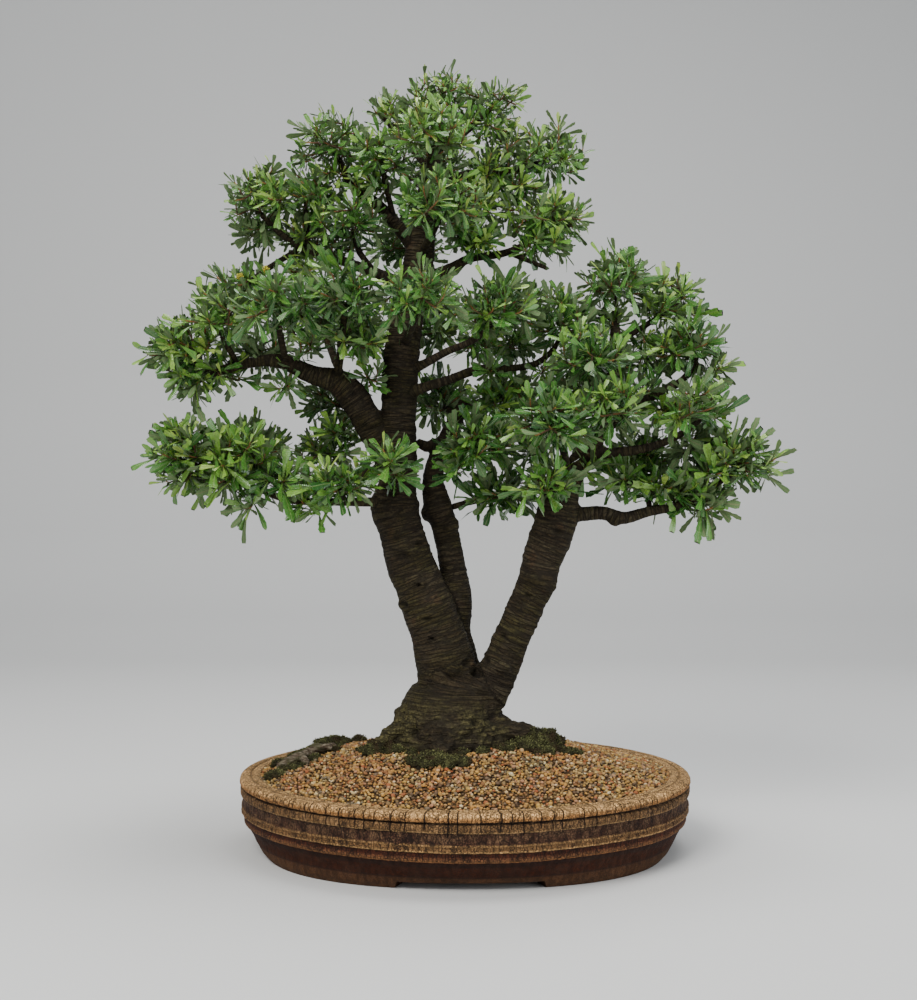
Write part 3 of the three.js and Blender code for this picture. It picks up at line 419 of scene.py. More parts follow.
class StageSettings(bpy.types.PropertyGroup):
    key_power: FloatProperty(
        name="Key Power", description="Power of the main lamp, in watts", default=76, min=0)
    floor_colour: FloatVectorProperty(
        name="Floor Colour", description="Plain pale floor", default=(0.62, 0.62, 0.61), size=3,
        subtype="COLOR")


class BonsaiSettings(bpy.types.PropertyGroup):
    pot: PointerProperty(type=PotSettings)
    gravel: PointerProperty(type=GravelSettings)
    wood: PointerProperty(type=WoodSettings)
    foliage: PointerProperty(type=FoliageSettings)
    moss: PointerProperty(type=MossSettings)
    stage: PointerProperty(type=StageSettings)


# Helpers for meshes

def linked(name, mesh):
    """An object at the origin with that mesh, linked to the scene."""
    piece = bpy.data.objects.new(name, mesh)
    bpy.context.scene.collection.objects.link(piece)
    return piece


def mesh_object(name, points, faces, edges=()):
    """A linked object made of points and faces."""
    mesh = bpy.data.meshes.new(name)
    mesh.from_pydata([tuple(p) for p in points], list(edges), list(faces))
    mesh.update()
    return linked(name, mesh)


def shaped_object(name, bm):
    """A linked object made of a bmesh, which is freed."""
    mesh = bpy.data.meshes.new(name)
    bm.to_mesh(mesh)
    bm.free()
    return linked(name, mesh)


def vectors(items, field="co"):
    """Three numbers of each item as an array: vertex positions, unless another field is named."""
    numbers = np.empty(len(items) * 3)
    items.foreach_get(field, numbers)
    return numbers.reshape(-1, 3)


def set_positions(mesh, place):
    mesh.vertices.foreach_set("co", np.ascontiguousarray(place, float).ravel())
    mesh.update()


def set_values(mesh, name, values, kind="FLOAT", domain="POINT"):
    """Stores values as a named attribute of the mesh."""
    attribute = mesh.attributes.new(name, kind, domain)
    field = "value" if kind == "FLOAT" else "vector"
    attribute.data.foreach_set(field, np.ascontiguousarray(values, float).ravel())


def keep_values(mesh, *names):
    """Removes the working values that a finish doesn't read."""
    kept = {*names, "position", "sharp_edge", "sharp_face", "material_index"}
    for value in [a.name for a in mesh.attributes if not a.is_internal and not a.is_required]:
        if value not in kept and value in mesh.attributes:
            mesh.attributes.remove(mesh.attributes[value])


def baked(source, name):
    """A plain object with source's evaluated mesh. Source is removed."""
    graph = bpy.context.evaluated_depsgraph_get()
    mesh = bpy.data.meshes.new_from_object(source.evaluated_get(graph), preserve_all_data_layers=True,
                                           depsgraph=graph)
    mesh.name = name
    bpy.data.objects.remove(source)
    return linked(name, mesh)


def gathered(name, shapes):
    """A collection that holds the shapes in place of the scene."""
    kept = bpy.data.collections.new(name)
    for shape in shapes:
        bpy.context.scene.collection.objects.unlink(shape)
        kept.objects.link(shape)
    return kept


def remove_shapes(kept):
    for shape in list(kept.objects):
        bpy.data.objects.remove(shape)
    bpy.data.collections.remove(kept)


@contextmanager
def opened(mesh):
    """The mesh opened for changes, which are written back at the end."""
    bm = bmesh.new()
    bm.from_mesh(mesh)
    yield bm
    bm.to_mesh(mesh)
    bm.free()


def soften(mesh, rounds=2):
    """Evens the surface by moving each point halfway to its neighbours' mean."""
    place = vectors(mesh.vertices)
    edges = np.empty(len(mesh.edges) * 2, int)
    mesh.edges.foreach_get("vertices", edges)
    a, b = edges.reshape(-1, 2).T
    degree = np.bincount(np.concatenate([a, b]), minlength=len(place))[:, None]
    for _ in range(rounds):
        total = np.zeros_like(place)
        np.add.at(total, a, place[b])
        np.add.at(total, b, place[a])
        place = 0.5 * place + 0.5 * total / np.maximum(degree, 1)
    set_positions(mesh, place)


def fused(block, name, grain):
    """The parts of a block fused into one softened skin of that grain."""
    remesh = block.modifiers.new("fuse", "REMESH")
    remesh.mode = "VOXEL"
    remesh.voxel_size = grain
    skin = baked(block, name)
    soften(skin.data)
    return skin


def icosphere(level, radius=1.0):
    """Vertices and faces of a round ball at the origin."""
    bm = bmesh.new()
    bmesh.ops.create_icosphere(bm, subdivisions=level, radius=radius)
    points = np.array([v.co for v in bm.verts])
    faces = [tuple(v.index for v in f.verts) for f in bm.faces]
    bm.free()
    return points, faces


def finish_piece(piece, nodes=(), smooth=True):
    """Ties a finished piece to the frame: its body and the nodes it stands for, and smooths its shading
    unless told not to.
    """
    if smooth:
        piece.data.shade_smooth()
    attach(piece, BODY)
    if nodes:
        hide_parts(*nodes)


def bow(t, start, leave, end, enter):
    """Points at the shares t of a curve from start to end that leaves and enters along given vectors."""
    return ((2 * t**3 - 3 * t**2 + 1) * start + (t**3 - 2 * t**2 + t) * leave
            + (3 * t**2 - 2 * t**3) * end + (t**3 - t**2) * enter)


def smooth_route(route, spacing=3 * MM):
    """Points in metres along a smooth curve through a route in millimetres, with their radii."""
    stops = np.array(route, float) * MM
    place, radius = stops[:, :3], stops[:, 3]
    padded = np.vstack([2 * place[0] - place[1], place, 2 * place[-1] - place[-2]])
    gap = np.linalg.norm(np.diff(padded, axis=0), axis=1) ** 0.5
    points, radii = [], []
    for i in range(len(place) - 1):
        before, start, end, after = padded[i:i + 4]
        a, b, c = gap[i:i + 3]
        leave = ((start - before) / a - (end - before) / (a + b) + (end - start) / b) * b
        enter = ((end - start) / b - (after - start) / (b + c) + (after - end) / c) * b
        count = max(2, math.ceil(np.linalg.norm(end - start) / spacing))
        t = np.arange(count)[:, None] / count
        points.append(bow(t, start, leave, end, enter))
        radii.append(radius[i] + (radius[i + 1] - radius[i]) * t[:, 0])
    return np.vstack(points + [place[-1:]]), np.concatenate(radii + [radius[-1:]])


def frames_along(points):
    """Unit tangents of a polyline, and a normal and binormal that turn as little as they can."""
    tangents = np.gradient(points, axis=0)
    tangents /= np.linalg.norm(tangents, axis=1)[:, None]
    side = np.array([0.0, 1.0, 0.0]) if abs(tangents[0, 1]) < 0.8 else np.array([1.0, 0.0, 0.0])
    normals = []
    for tangent in tangents:
        side = side - tangent * side.dot(tangent)
        side = side / np.linalg.norm(side)
        normals.append(side)
    normals = np.array(normals)
    return tangents, normals, np.cross(tangents, normals)


def tube(points, radii, sides):
    """Vertices and faces of a round closed tube along points, with blunt domed ends."""
    tangents, normals, binormals = frames_along(points)
    angle = 2 * np.pi * np.arange(sides) / sides
    ring = (np.cos(angle)[None, :, None] * normals[:, None]
            + np.sin(angle)[None, :, None] * binormals[:, None])
    vertices = (points[:, None] + ring * radii[:, None, None]).reshape(-1, 3)
    caps = np.array([points[0] - tangents[0] * radii[0] * 0.5, points[-1] + tangents[-1] * radii[-1] * 0.5])
    first, last = len(vertices), len(vertices) + 1
    faces = []
    for i in range(len(points) - 1):
        for j in range(sides):
            k = (j + 1) % sides
            faces.append((i * sides + j, i * sides + k, (i + 1) * sides + k, (i + 1) * sides + j))
    top = (len(points) - 1) * sides
    for j in range(sides):
        k = (j + 1) % sides
        faces.append((first, k, j))
        faces.append((last, top + j, top + k))
    return np.vstack([vertices, caps]), faces


class MeshPile:
    """Gathers vertices and faces of several closed parts into one mesh."""

    def __init__(self):
        self.points, self.faces, self.count = [], [], 0

    def add(self, points, faces):
        self.points.append(np.asarray(points, float))
        self.faces += [tuple(i + self.count for i in face) for face in faces]
        self.count += len(points)

    def made(self, name):
        return mesh_object(name, np.vstack(self.points), self.faces)


def wave(x, y, z):
    """Smooth noise between about -1 and 1."""
    return noise.noise(Vector((x, y, z)))


# Helpers for node trees

class Value:
    """A node's output. Arithmetic on it adds Math nodes."""

    def __init__(self, nodes, socket):
        self.nodes, self.socket = nodes, socket

    def sibling(self, name):
        """Another output of the same node."""
        return Value(self.nodes, self.socket.node.outputs[name])

    def __add__(self, other):
        return self.nodes.math("ADD", self, other)

    def __mul__(self, other):
        return self.nodes.math("MULTIPLY", self, other)

    def __sub__(self, other):
        return self.nodes.math("SUBTRACT", self, other)

    def __rsub__(self, other):
        return self.nodes.math("SUBTRACT", other, self)

    def __truediv__(self, other):
        return self.nodes.math("DIVIDE", self, other)

    def __pow__(self, other):
        return self.nodes.math("POWER", self, other)


def opaque(tone):
    """A colour value as it is, or three numbers with a full alpha."""
    return tone if isinstance(tone, Value) else (*tone, 1.0)


class Nodes:
    """Adds nodes to a tree and joins them."""

    def __init__(self, tree):
        self.tree = tree

    def join(self, value, socket):
        """Links a value to an input, or sets the input to a plain one."""
        if isinstance(value, Value):
            self.tree.links.new(value.socket, socket)
        else:
            socket.default_value = value

    def add(self, kind, inputs=None, output=0, **settings):
        """An output of a new node with its settings and joined inputs."""
        node = self.tree.nodes.new(kind)
        for key, value in settings.items():
            setattr(node, key, value)
        for key, value in (inputs or {}).items():
            self.join(value, node.inputs[key])
        return Value(self, node.outputs[output])

    def math(self, operation, *values):
        return self.add("ShaderNodeMath", dict(enumerate(values)), operation=operation)

    def larger(self, *values):
        return self.math("MAXIMUM", *values)

    def vector(self, operation, *values):
        return self.add("ShaderNodeVectorMath", dict(enumerate(values)), operation=operation)

    def combined(self, x=0.0, y=0.0, z=0.0):
        return self.add("ShaderNodeCombineXYZ", {0: x, 1: y, 2: z})


class Finish(Nodes):
    """A material, its shader's inputs and the place of each point on its piece."""

    def __init__(self, name, roughness, specular):
        self.material = bpy.data.materials.new(name)
        self.material.use_nodes = True
        super().__init__(self.material.node_tree)
        self.shader = self.tree.nodes["Principled BSDF"].inputs
        self.shader["Roughness"].default_value = roughness
        self.shader["Specular IOR Level"].default_value = specular
        self.place = self.add("ShaderNodeTexCoord", output="Object")

    def attribute(self, name, output="Fac"):
        return self.add("ShaderNodeAttribute", output=output, attribute_name=name)

    def mix(self, share, first, second, kind="MIX"):
        """Two colours blended by a share."""
        return self.add("ShaderNodeMix", {0: share, 6: opaque(first), 7: opaque(second)}, 2, data_type="RGBA",
                        blend_type=kind)

    def between(self, share, first, second):
        """Two numbers blended by a share."""
        return self.add("ShaderNodeMix", {0: share, 2: first, 3: second}, data_type="FLOAT")

    def ramp(self, share, stops, interpolation="LINEAR"):
        """The colour of a ramp whose stops are (position, colour)."""
        result = self.add("ShaderNodeValToRGB", {0: share})
        scale = result.socket.node.color_ramp
        scale.interpolation = interpolation
        while len(scale.elements) < len(stops):
            scale.elements.new(1.0)
        for element, (position, tone) in zip(scale.elements, stops):
            element.position = position
            element.color = opaque(tone)
        return result

    def fade(self, value, low, high, start=0.0, end=1.0):
        """Value mapped smoothly from low..high to start..end, clamped."""
        return self.add("ShaderNodeMapRange", {0: value, 1: low, 2: high, 3: start, 4: end},
                        interpolation_type="SMOOTHSTEP")

    def grain(self, scale, detail=4.0, roughness=0.55, vector=None):
        """Noise between 0 and 1 over the piece, or over another vector."""
        return self.add("ShaderNodeTexNoise", {"Vector": vector or self.place, "Scale": scale,
                                               "Detail": detail, "Roughness": roughness})

    def wobble(self, scale):
        """Noise round zero in three directions."""
        cloud = self.add("ShaderNodeTexNoise", {"Vector": self.place, "Scale": scale, "Detail": 3.0}, 1)
        return self.vector("SUBTRACT", cloud, (0.5, 0.5, 0.5))

    def moved(self, wobble, reach, vector=None):
        """The place, or another vector, moved by a wobble."""
        return self.vector("MULTIPLY_ADD", wobble, (reach, reach, reach), vector or self.place)

    def mapped(self, vector, scale, rotation=(0.0, 0.0, 0.0)):
        return self.add("ShaderNodeMapping", {"Vector": vector, "Rotation": rotation, "Scale": scale})

    def cells(self, scale, vector=None):
        """Distance from the middles of random cells, and their colour as its sibling."""
        return self.add("ShaderNodeTexVoronoi", {"Vector": vector or self.place, "Scale": scale})

    def cell_tone(self, cells):
        """A random number for each cell."""
        return self.add("ShaderNodeSeparateColor", {0: cells.sibling("Color")})

    def cell_edges(self, scale, vector):
        """Distance from the edges of random cells."""
        return self.add("ShaderNodeTexVoronoi", {"Vector": vector, "Scale": scale},
                        feature="DISTANCE_TO_EDGE")

    def done(self, base, height, distance, strength=1.0, roughness=None):
        """Joins colour, bump and roughness to the shader and returns the material."""
        self.join(base, self.shader["Base Color"])
        if roughness:
            self.join(roughness, self.shader["Roughness"])
        bump = self.add("ShaderNodeBump", {"Height": height, "Distance": distance, "Strength": strength})
        self.join(bump, self.shader["Normal"])
        return self.material


# The two inputs and the output of a random node by the kind of its values.
RANDOM_SOCKETS = {"FLOAT_VECTOR": (0, 1, 0), "FLOAT": (2, 3, 1), "INT": (4, 5, 2)}


class Growth(Nodes):
    """A geometry node group with named inputs, of which one is its seed."""

    def __init__(self, name, inputs):
        super().__init__(bpy.data.node_groups.new(name, "GeometryNodeTree"))
        sockets = self.tree.interface
        for title, kind, default in [("Geometry", "Geometry", None), ("Seed", "Int", 0)] + inputs:
            socket = sockets.new_socket(title, in_out="INPUT", socket_type=f"NodeSocket{kind}")
            if default is not None:
                socket.default_value = default
        sockets.new_socket("Geometry", in_out="OUTPUT", socket_type="NodeSocketGeometry")
        entry = self.tree.nodes.new("NodeGroupInput")
        self.given = {socket.name: Value(self, socket) for socket in entry.outputs}
        self.result = self.tree.nodes.new("NodeGroupOutput").inputs[0]

    def grown(self, source, name, **values):
        """Runs the group on source with its inputs set, and returns the plain result."""
        modifier = source.modifiers.new(name, "NODES")
        modifier.node_group = self.tree
        identifiers = {item.name: item.identifier for item in self.tree.interface.items_tree
                       if item.item_type == "SOCKET" and item.in_out == "INPUT"}
        for title, value in values.items():
            modifier[identifiers[title.replace("_", " ").title()]] = value
        return baked(source, name)

    def random(self, low, high, offset, kind="FLOAT"):
        """A random value for each element."""
        first, second, output = RANDOM_SOCKETS[kind]
        seed = self.given["Seed"] + offset
        return self.add("FunctionNodeRandomValue", {first: low, second: high, "Seed": seed}, output,
                        data_type=kind)

    def turned(self, rotation, turn):
        return self.add("FunctionNodeRotateRotation", {0: rotation, 1: turn}, rotation_space="LOCAL")

    def spun(self, rotation, axis, angle):
        """A rotation turned about its own axis."""
        turn = self.add("FunctionNodeAxisAngleToRotation", {"Axis": axis, "Angle": angle})
        return self.turned(rotation, turn)

    def named(self, name):
        return self.add("GeometryNodeInputNamedAttribute", {"Name": name}, data_type="FLOAT")

    def stored(self, geometry, name, value, domain="POINT"):
        return self.add("GeometryNodeStoreNamedAttribute",
                        {"Geometry": geometry, "Name": name, "Value": value}, data_type="FLOAT",
                        domain=domain)

    def spread(self, density):
        """Points over the open ground of the given mesh, no nearer than its spacing."""
        return self.add("GeometryNodeDistributePointsOnFaces",
                        {"Mesh": self.given["Geometry"], "Distance Min": self.given["Spacing"],
                         "Density Max": density, "Density Factor": self.named("open"),
                         "Seed": self.given["Seed"]}, distribute_method="POISSON")

    def set_out(self, points, shapes, number, rotation, scale):
        """One of a collection's shapes on each point."""
        kept = self.add("GeometryNodeCollectionInfo",
                        {"Collection": shapes, "Separate Children": True, "Reset Children": True})
        return self.add("GeometryNodeInstanceOnPoints",
                        {"Points": points, "Instance": kept, "Pick Instance": True, "Instance Index": number,
                         "Rotation": rotation, "Scale": scale})

    def real(self, instances):
        return self.add("GeometryNodeRealizeInstances", {"Geometry": instances})

    def finished(self, geometry, material):
        return self.add("GeometryNodeSetMaterial", {"Geometry": geometry, "Material": material})

    def together(self, *parts):
        node = self.tree.nodes.new("GeometryNodeJoinGeometry")
        for part in parts:
            self.join(part, node.inputs[0])
        return Value(self, node.outputs[0])

    def done(self, geometry):
        self.join(geometry, self.result)
        return self


# Pot

def oval_at(z):
    """How narrow the pot is along Y at a height in millimetres."""
    return OVAL_AT_FOOT + (OVAL_AT_RIM - OVAL_AT_FOOT) * min(max(z / POT_HEIGHT, 0), 1)


def pot_columns(spacing):
    """Angles of the pot's columns and, for each, how much of a crack runs down it."""
    picker = random.Random(23)
    columns = {2 * math.pi * i / POT_COLUMNS: 0.0 for i in range(POT_COLUMNS)}
    angle = 0.02
    while angle < 2 * math.pi - 0.02:
        width = 0.0026 + 0.0016 * picker.random()
        strength = 0.62 + 0.38 * picker.random()
        for known in [a for a in columns if abs(a - angle) < 1.5 * width]:
            del columns[known]
        columns[angle - width] = 0.0
        columns[angle] = strength
        columns[angle + width] = 0.0
        angle += spacing / (MEAN_RADIUS * MM) * (0.45 + 1.1 * picker.random())
    for edge in foot_edges():
        for known in [a for a in columns if abs(a - edge) < 0.004]:
            del columns[known]
        columns[edge - 0.0006] = 0.0
        columns[edge + 0.0006] = 0.0
    return sorted(columns.items())


def foot_edges():
    """Angles at which the foot's gaps begin and end, from 0 to a full turn."""
    squarer = 1 + 0.5 * FOOT_FULLNESS
    edges = []
    for x in (FOOT_GAP_FRONT_X - FOOT_GAP_FRONT, FOOT_GAP_FRONT_X + FOOT_GAP_FRONT):
        share = abs(x / FOOT_HALF_WIDTH) ** squarer
        angle = math.acos(math.copysign(share, x))
        edges += [angle, 2 * math.pi - angle]
    tilt = math.asin((FOOT_GAP_SIDE / (FOOT_HALF_WIDTH * OVAL_AT_FOOT)) ** squarer)
    return sorted(edges + [tilt, math.pi - tilt, math.pi + tilt, 2 * math.pi - tilt])


def filled_out(share, height):
    """A cosine or sine moved outward where the foot is squarer than an oval."""
    fullness = FOOT_FULLNESS * max(0, 1 - height / FLOOR_TOP)
    return math.copysign(abs(share) ** (2 / (2 + fullness)), share)


def over_gap(angle):
    """Whether the foot is cut away at an angle."""
    x = FOOT_HALF_WIDTH * filled_out(math.cos(angle), 0)
    y = FOOT_HALF_WIDTH * OVAL_AT_FOOT * filled_out(math.sin(angle), 0)
    return abs(x - FOOT_GAP_FRONT_X) < FOOT_GAP_FRONT or abs(y) < FOOT_GAP_SIDE


def resampled(profile, step):
    """Points of a profile with no two further apart than step."""
    result = []
    for (r0, z0), (r1, z1) in zip(profile, profile[1:]):
        count = max(1, round(math.hypot(r1 - r0, z1 - z0) / step))
        result += [(r0 + (r1 - r0) * i / count, z0 + (z1 - z0) * i / count) for i in range(count)]
    return result + [profile[-1]]


def pot_mesh(settings):
    """The pot as columns round a profile, with its foot cut in four and cracks over its lip."""
    columns = pot_columns(settings.crack_spacing)
    outside = resampled(OUTER_WALL, WALL_STEP)
    profile = FOOT_INSIDE + outside + INNER_WALL
    first, last = len(FOOT_INSIDE), len(FOOT_INSIDE) + len(outside)
    depth = settings.crack_depth / MM
    mesh = bmesh.new()
    place_of, crack_of, rows = [], [], []
    for number, (radius, height) in enumerate(profile):
        row = []
        outer = first <= number < last
        on_rim = height > POT_HEIGHT - 1 and radius <= RIM_OUTER
        place = POT_HEIGHT + RIM_OUTER - radius if on_rim else height
        if number >= last:
            place = INSIDE_PLACE
        for angle, crack in columns:
            z = max(height, FOOT_HEIGHT) if over_gap(angle) else height
            r = radius
            turn = angle
            reach = 0.0
            if outer and z > FOOT_HEIGHT + 1:
                x, y = math.cos(angle), math.sin(angle)
                low = min(1, (z - 8) / 20)
                z += 0.8 * wave(2.2 * x, 2.2 * y, 0.5) * low * (z < 64)
                turn += 0.008 * wave(9 * x, 9 * y, number * 0.08) * low
                r += 0.4 * wave(26 * x, 26 * y, z / 5) * (radius > 212) + 0.3 * wave(70 * x, 70 * y, z / 2)
                start = 58 - 26 * max(0.0, crack - 0.72)
                reach = crack * min(1, max(0, (height - start) / 4)) * min(1, max(0, (radius - 202) / 2))
                r -= depth * reach * (not on_rim)
                z -= depth * reach * (height > 71.4)
            row.append(mesh.verts.new((r * filled_out(math.cos(turn), height) * MM,
                                       r * oval_at(z) * filled_out(math.sin(turn), height) * MM, z * MM)))
            place_of.append(place)
            crack_of.append(reach)
        rows.append(row)
    count = len(columns)
    for lower, upper in zip(rows, rows[1:]):
        for i in range(count):
            j = (i + 1) % count
            mesh.faces.new((lower[i], lower[j], upper[j], upper[i]))
    close_floor(mesh, rows[0], rows[-1])
    bmesh.ops.recalc_face_normals(mesh, faces=mesh.faces)
    piece = shaped_object("pot_glazed_wall", mesh)
    padding = len(piece.data.vertices) - len(place_of)
    set_values(piece.data, "place", place_of + [0.0] * padding)
    set_values(piece.data, "crack", crack_of + [0.0] * padding)
    return piece


def close_floor(mesh, under, over):
    """Closes the pot's floor between its two rings, round the drain holes."""
    holes = []
    for x in (-DRAIN_HOLE_X, DRAIN_HOLE_X):
        pair = []
        for z in (FOOT_HEIGHT, FLOOR_TOP):
            ring = [mesh.verts.new(((x + DRAIN_HOLE_RADIUS * math.cos(a)) * MM,
                                    DRAIN_HOLE_RADIUS * math.sin(a) * MM, z * MM))
                    for a in (2 * math.pi * i / HOLE_SIDES for i in range(HOLE_SIDES))]
            pair.append(ring)
        low, high = pair
        for i in range(HOLE_SIDES):
            j = (i + 1) % HOLE_SIDES
            mesh.faces.new((low[i], high[i], high[j], low[j]))
        holes.append(pair)
    for ring, inner in ((under, 0), (over, 1)):
        edges = []
        for loop in (ring, holes[0][inner], holes[1][inner]):
            for a, b in zip(loop, loop[1:] + loop[:1]):
                edges.append(mesh.edges.get((a, b)) or mesh.edges.new((a, b)))
        bmesh.ops.triangle_fill(mesh, edges=edges, use_beauty=True, use_dissolve=False)


def pot_material(settings):
    """Dull crawled stoneware in bands: fine crackle, streaks down the wall, bare clay on ridges and lip,
    painted light on the rim's top and painted shade in its groove.
    """
    finish = Finish("crackled_stoneware", roughness=0.8, specular=0.14)
    ridge, lip = tuple(settings.ridge_colour), tuple(settings.lip_colour)
    height = finish.attribute("place")
    moved = finish.moved(finish.wobble(150.0), 0.005)
    tall = finish.mapped(moved, (1.0, 1.0, 0.16))
    grain = finish.grain(900.0, 3.0)
    stain = finish.grain(90.0, 5.0, 0.65)
    streak = finish.grain(210.0, 4.0, 0.6, tall)
    patchy = finish.grain(38.0, 5.0)
    share = (height + (streak - 0.5) * 2.6) / 100.0
    dark, maroon, brown = (0.012, 0.006, 0.004), (0.072, 0.021, 0.011), (0.15, 0.055, 0.025)
    low_wall, olive = (0.038, 0.0105, 0.0042), (0.23, 0.122, 0.048)
    # The stops for the rim's top, at 0.712 and 0.98, are lightened as painted light from above.
    base = finish.ramp(share, [
        (0.0, (0.095, 0.045, 0.021)), (0.115, (0.07, 0.031, 0.014)), (0.128, (0.026, 0.011, 0.007)),
        (0.145, low_wall), (0.225, low_wall), (0.245, (0.022, 0.008, 0.005)), (0.284, (0.03, 0.011, 0.007)),
        (0.292, (0.42, 0.17, 0.055)), (0.302, (0.24, 0.11, 0.045)), (0.335, brown), (0.343, maroon),
        (0.372, maroon), (0.38, dark), (0.387, (0.8, 0.46, 0.18)), (0.396, ridge),
        (0.404, (0.24, 0.125, 0.05)), (0.436, olive), (0.447, (0.46, 0.26, 0.1)), (0.453, (0.36, 0.2, 0.08)),
        (0.463, (0.062, 0.025, 0.015)),
        (0.548, (0.075, 0.033, 0.02)), (0.56, (0.03, 0.014, 0.009)), (0.567, (0.62, 0.37, 0.15)),
        (0.58, olive), (0.633, olive), (0.643, dark), (0.658, dark), (0.667, lip), (0.69, lip),
        (0.712, (0.86, 0.5, 0.2)), (0.98, (0.78, 0.48, 0.2)), (1.0, (0.16, 0.1, 0.06))])
    tan = finish.fade(height, 30.0, 36.0) * finish.fade(height, 57.0, 52.0)
    base = finish.mix(tan * finish.fade(streak, 0.54, 0.68, 0.0, 0.7), base, (0.04, 0.014, 0.008))
    base = finish.mix(finish.fade(stain, 0.35, 0.7, 0.0, 0.35), base, (0.045, 0.027, 0.018))
    bright = finish.fade(stain, 0.6, 0.38, 0.0, 0.35) * finish.fade(share, 0.4, 0.5)
    base = finish.mix(bright, base, (0.27, 0.165, 0.085))
    net = finish.fade(finish.cell_edges(430.0, moved), 0.02, 0.12, 1.0, 0.0)
    long_net = finish.fade(finish.cell_edges(240.0, tall), 0.02, 0.07, 1.0, 0.0)
    fine = net * finish.fade(patchy, 0.3, 0.6, 0.45, 0.95)
    coarse = long_net * finish.fade(share, 0.27, 0.31, 0.15, 0.85)
    cracks = finish.larger(fine, coarse) * finish.fade(share, 0.24, 0.31, 0.35, 1.0)
    # Painted shade in the groove on the rim's top; from here on the cracks value carries it too.
    groove_shade = finish.fade(height, 81.6, 82.3) * finish.fade(height, 84.2, 83.5)
    cracks = finish.larger(cracks, groove_shade * 0.6)
    cracks = finish.larger(cracks, finish.fade(finish.attribute("crack"), 0.1, 0.3))
    speck = finish.fade(grain, 0.3, 0.75, 0.6, 1.3) * finish.fade(streak, 0.36, 0.66, 0.72, 1.3)
    base = finish.mix(1.0, base, finish.combined(speck, speck, speck), "MULTIPLY")
    # Darkens the cracks and, as painted shade, the rim's groove.
    base = finish.mix(cracks * 0.96, base, (0.009, 0.006, 0.005))
    rough = finish.fade(grain, 0.2, 0.8, 0.66, 0.95)
    return finish.done(base, grain * 0.3 - cracks * 0.9, 0.0011, 0.9, rough)


class BONSAI_OT_pot(bpy.types.Operator):
    """Makes the oval pot with its ridges, cracked lip and cut foot"""
    bl_idname = "bonsai.pot"
    bl_label = "Pot"

    def execute(self, context):
        settings = context.scene.bonsai.pot
        piece = pot_mesh(settings)
        piece.data.materials.append(pot_material(settings))
        finish_piece(piece, ["pot"])
        return {"FINISHED"}


# Screens and potting mix, inside the pot

def mix_material():
    """Dark damp granules, with painted shade between them."""
    finish = Finish("damp_potting_mix", roughness=0.97, specular=0.15)
    lumps = finish.cells(260.0)
    tone = finish.ramp(finish.cell_tone(lumps), [(0.0, (0.02, 0.013, 0.009)), (0.5, (0.055, 0.035, 0.02)),
                                                 (1.0, (0.13, 0.08, 0.045))])
    # Painted shade: darker towards each granule's edge, in the gaps between them.
    base = finish.mix(finish.fade(lumps, 0.2, 0.75), tone, (0.012, 0.009, 0.007))
    return finish.done(base, lumps * -1.0, 0.002)


def screen_material():
    """Black moulded plastic, slightly dusty."""
    finish = Finish("black_screen_plastic", roughness=0.5, specular=0.4)
    dust = finish.grain(220.0)
    base = finish.mix(finish.fade(dust, 0.45, 0.75), (0.018, 0.018, 0.017), (0.06, 0.05, 0.04))
    return finish.done(base, dust, 0.0002, 0.5)


def screen_grid(x):
    """A square lattice of thin bars, over one drain hole."""
    half, bar, cells, thick = 22.0, 1.2, 9, 1.0
    low = FLOOR_TOP + 0.35
    pitch = (2 * half - bar) / cells
    lines = [-half + i * pitch for i in range(cells + 1)]
    stops = sorted(lines + [line + bar for line in lines])
    mesh = bmesh.new()
    grid = {}
    for i, u in enumerate(stops):
        for j, v in enumerate(stops):
            grid[i, j] = [mesh.verts.new(((x + u) * MM, v * MM, z * MM)) for z in (low, low + thick)]
    solid = {(i, j) for i in range(len(stops) - 1) for j in range(len(stops) - 1) if i % 2 == 0 or j % 2 == 0}
    for i, j in solid:
        corners = [grid[i, j], grid[i + 1, j], grid[i + 1, j + 1], grid[i, j + 1]]
        mesh.faces.new([corner[1] for corner in corners])
        mesh.faces.new([corner[0] for corner in reversed(corners)])
        for (di, dj), (a, b) in {(0, -1): (0, 1), (1, 0): (1, 2), (0, 1): (2, 3), (-1, 0): (3, 0)}.items():
            if (i + di, j + dj) not in solid:
                mesh.faces.new((corners[a][0], corners[b][0], corners[b][1], corners[a][1]))
    loose = [v for pair in grid.values() for v in pair if not v.link_faces]
    bmesh.ops.delete(mesh, geom=loose, context="VERTS")
    bmesh.ops.recalc_face_normals(mesh, faces=mesh.faces)
    side = "left" if x < 0 else "right"
    return shaped_object(f"screen_mesh_{side}", mesh), f"drainage_screen_{side}"


class BONSAI_OT_fill(bpy.types.Operator):
    """Makes the screens over the drain holes and gives the potting mix its finish"""
    bl_idname = "bonsai.fill"
    bl_label = "Screens and Potting Mix"

    def execute(self, context):
        plastic = screen_material()
        for x in (-DRAIN_HOLE_X, DRAIN_HOLE_X):
            piece, node = screen_grid(x)
            piece.data.materials.append(plastic)
            finish_piece(piece, [node], smooth=False)
        mix = frame["nodes"]["potting_mix"]
        for slot in mix.material_slots:
            slot.material = mix_material()
        return {"FINISHED"}


# Wood

def wood_lines():
    """Points and radii of every limb, in metres: trunks, roots, branches and branchlets."""
    return [smooth_route(route) for route in TRUNKS + ROOTS + BRANCHES + branchlets()]


def branchlets():
    """The sprays' own branchlets, whose roots are kept slimmer than the limbs they leave."""
    routes = [route for group in SPRAYS.values() for *_, route in group if route]
    return [[(*route[0][:3], 0.8 * min(route[0][3], 1.2 * route[1][3]))] + route[1:] for route in routes]


def thick_and_thin(route, limit=4.6):
    """Splits a branch where it gets thinner than the limit, with one point in common."""
    cut = next((i for i, stop in enumerate(route) if stop[3] < limit), len(route))
    return route[:cut + 1], route[max(cut - 1, 0):]


# How many points are compared with the limbs at once.
BATCH = 4000


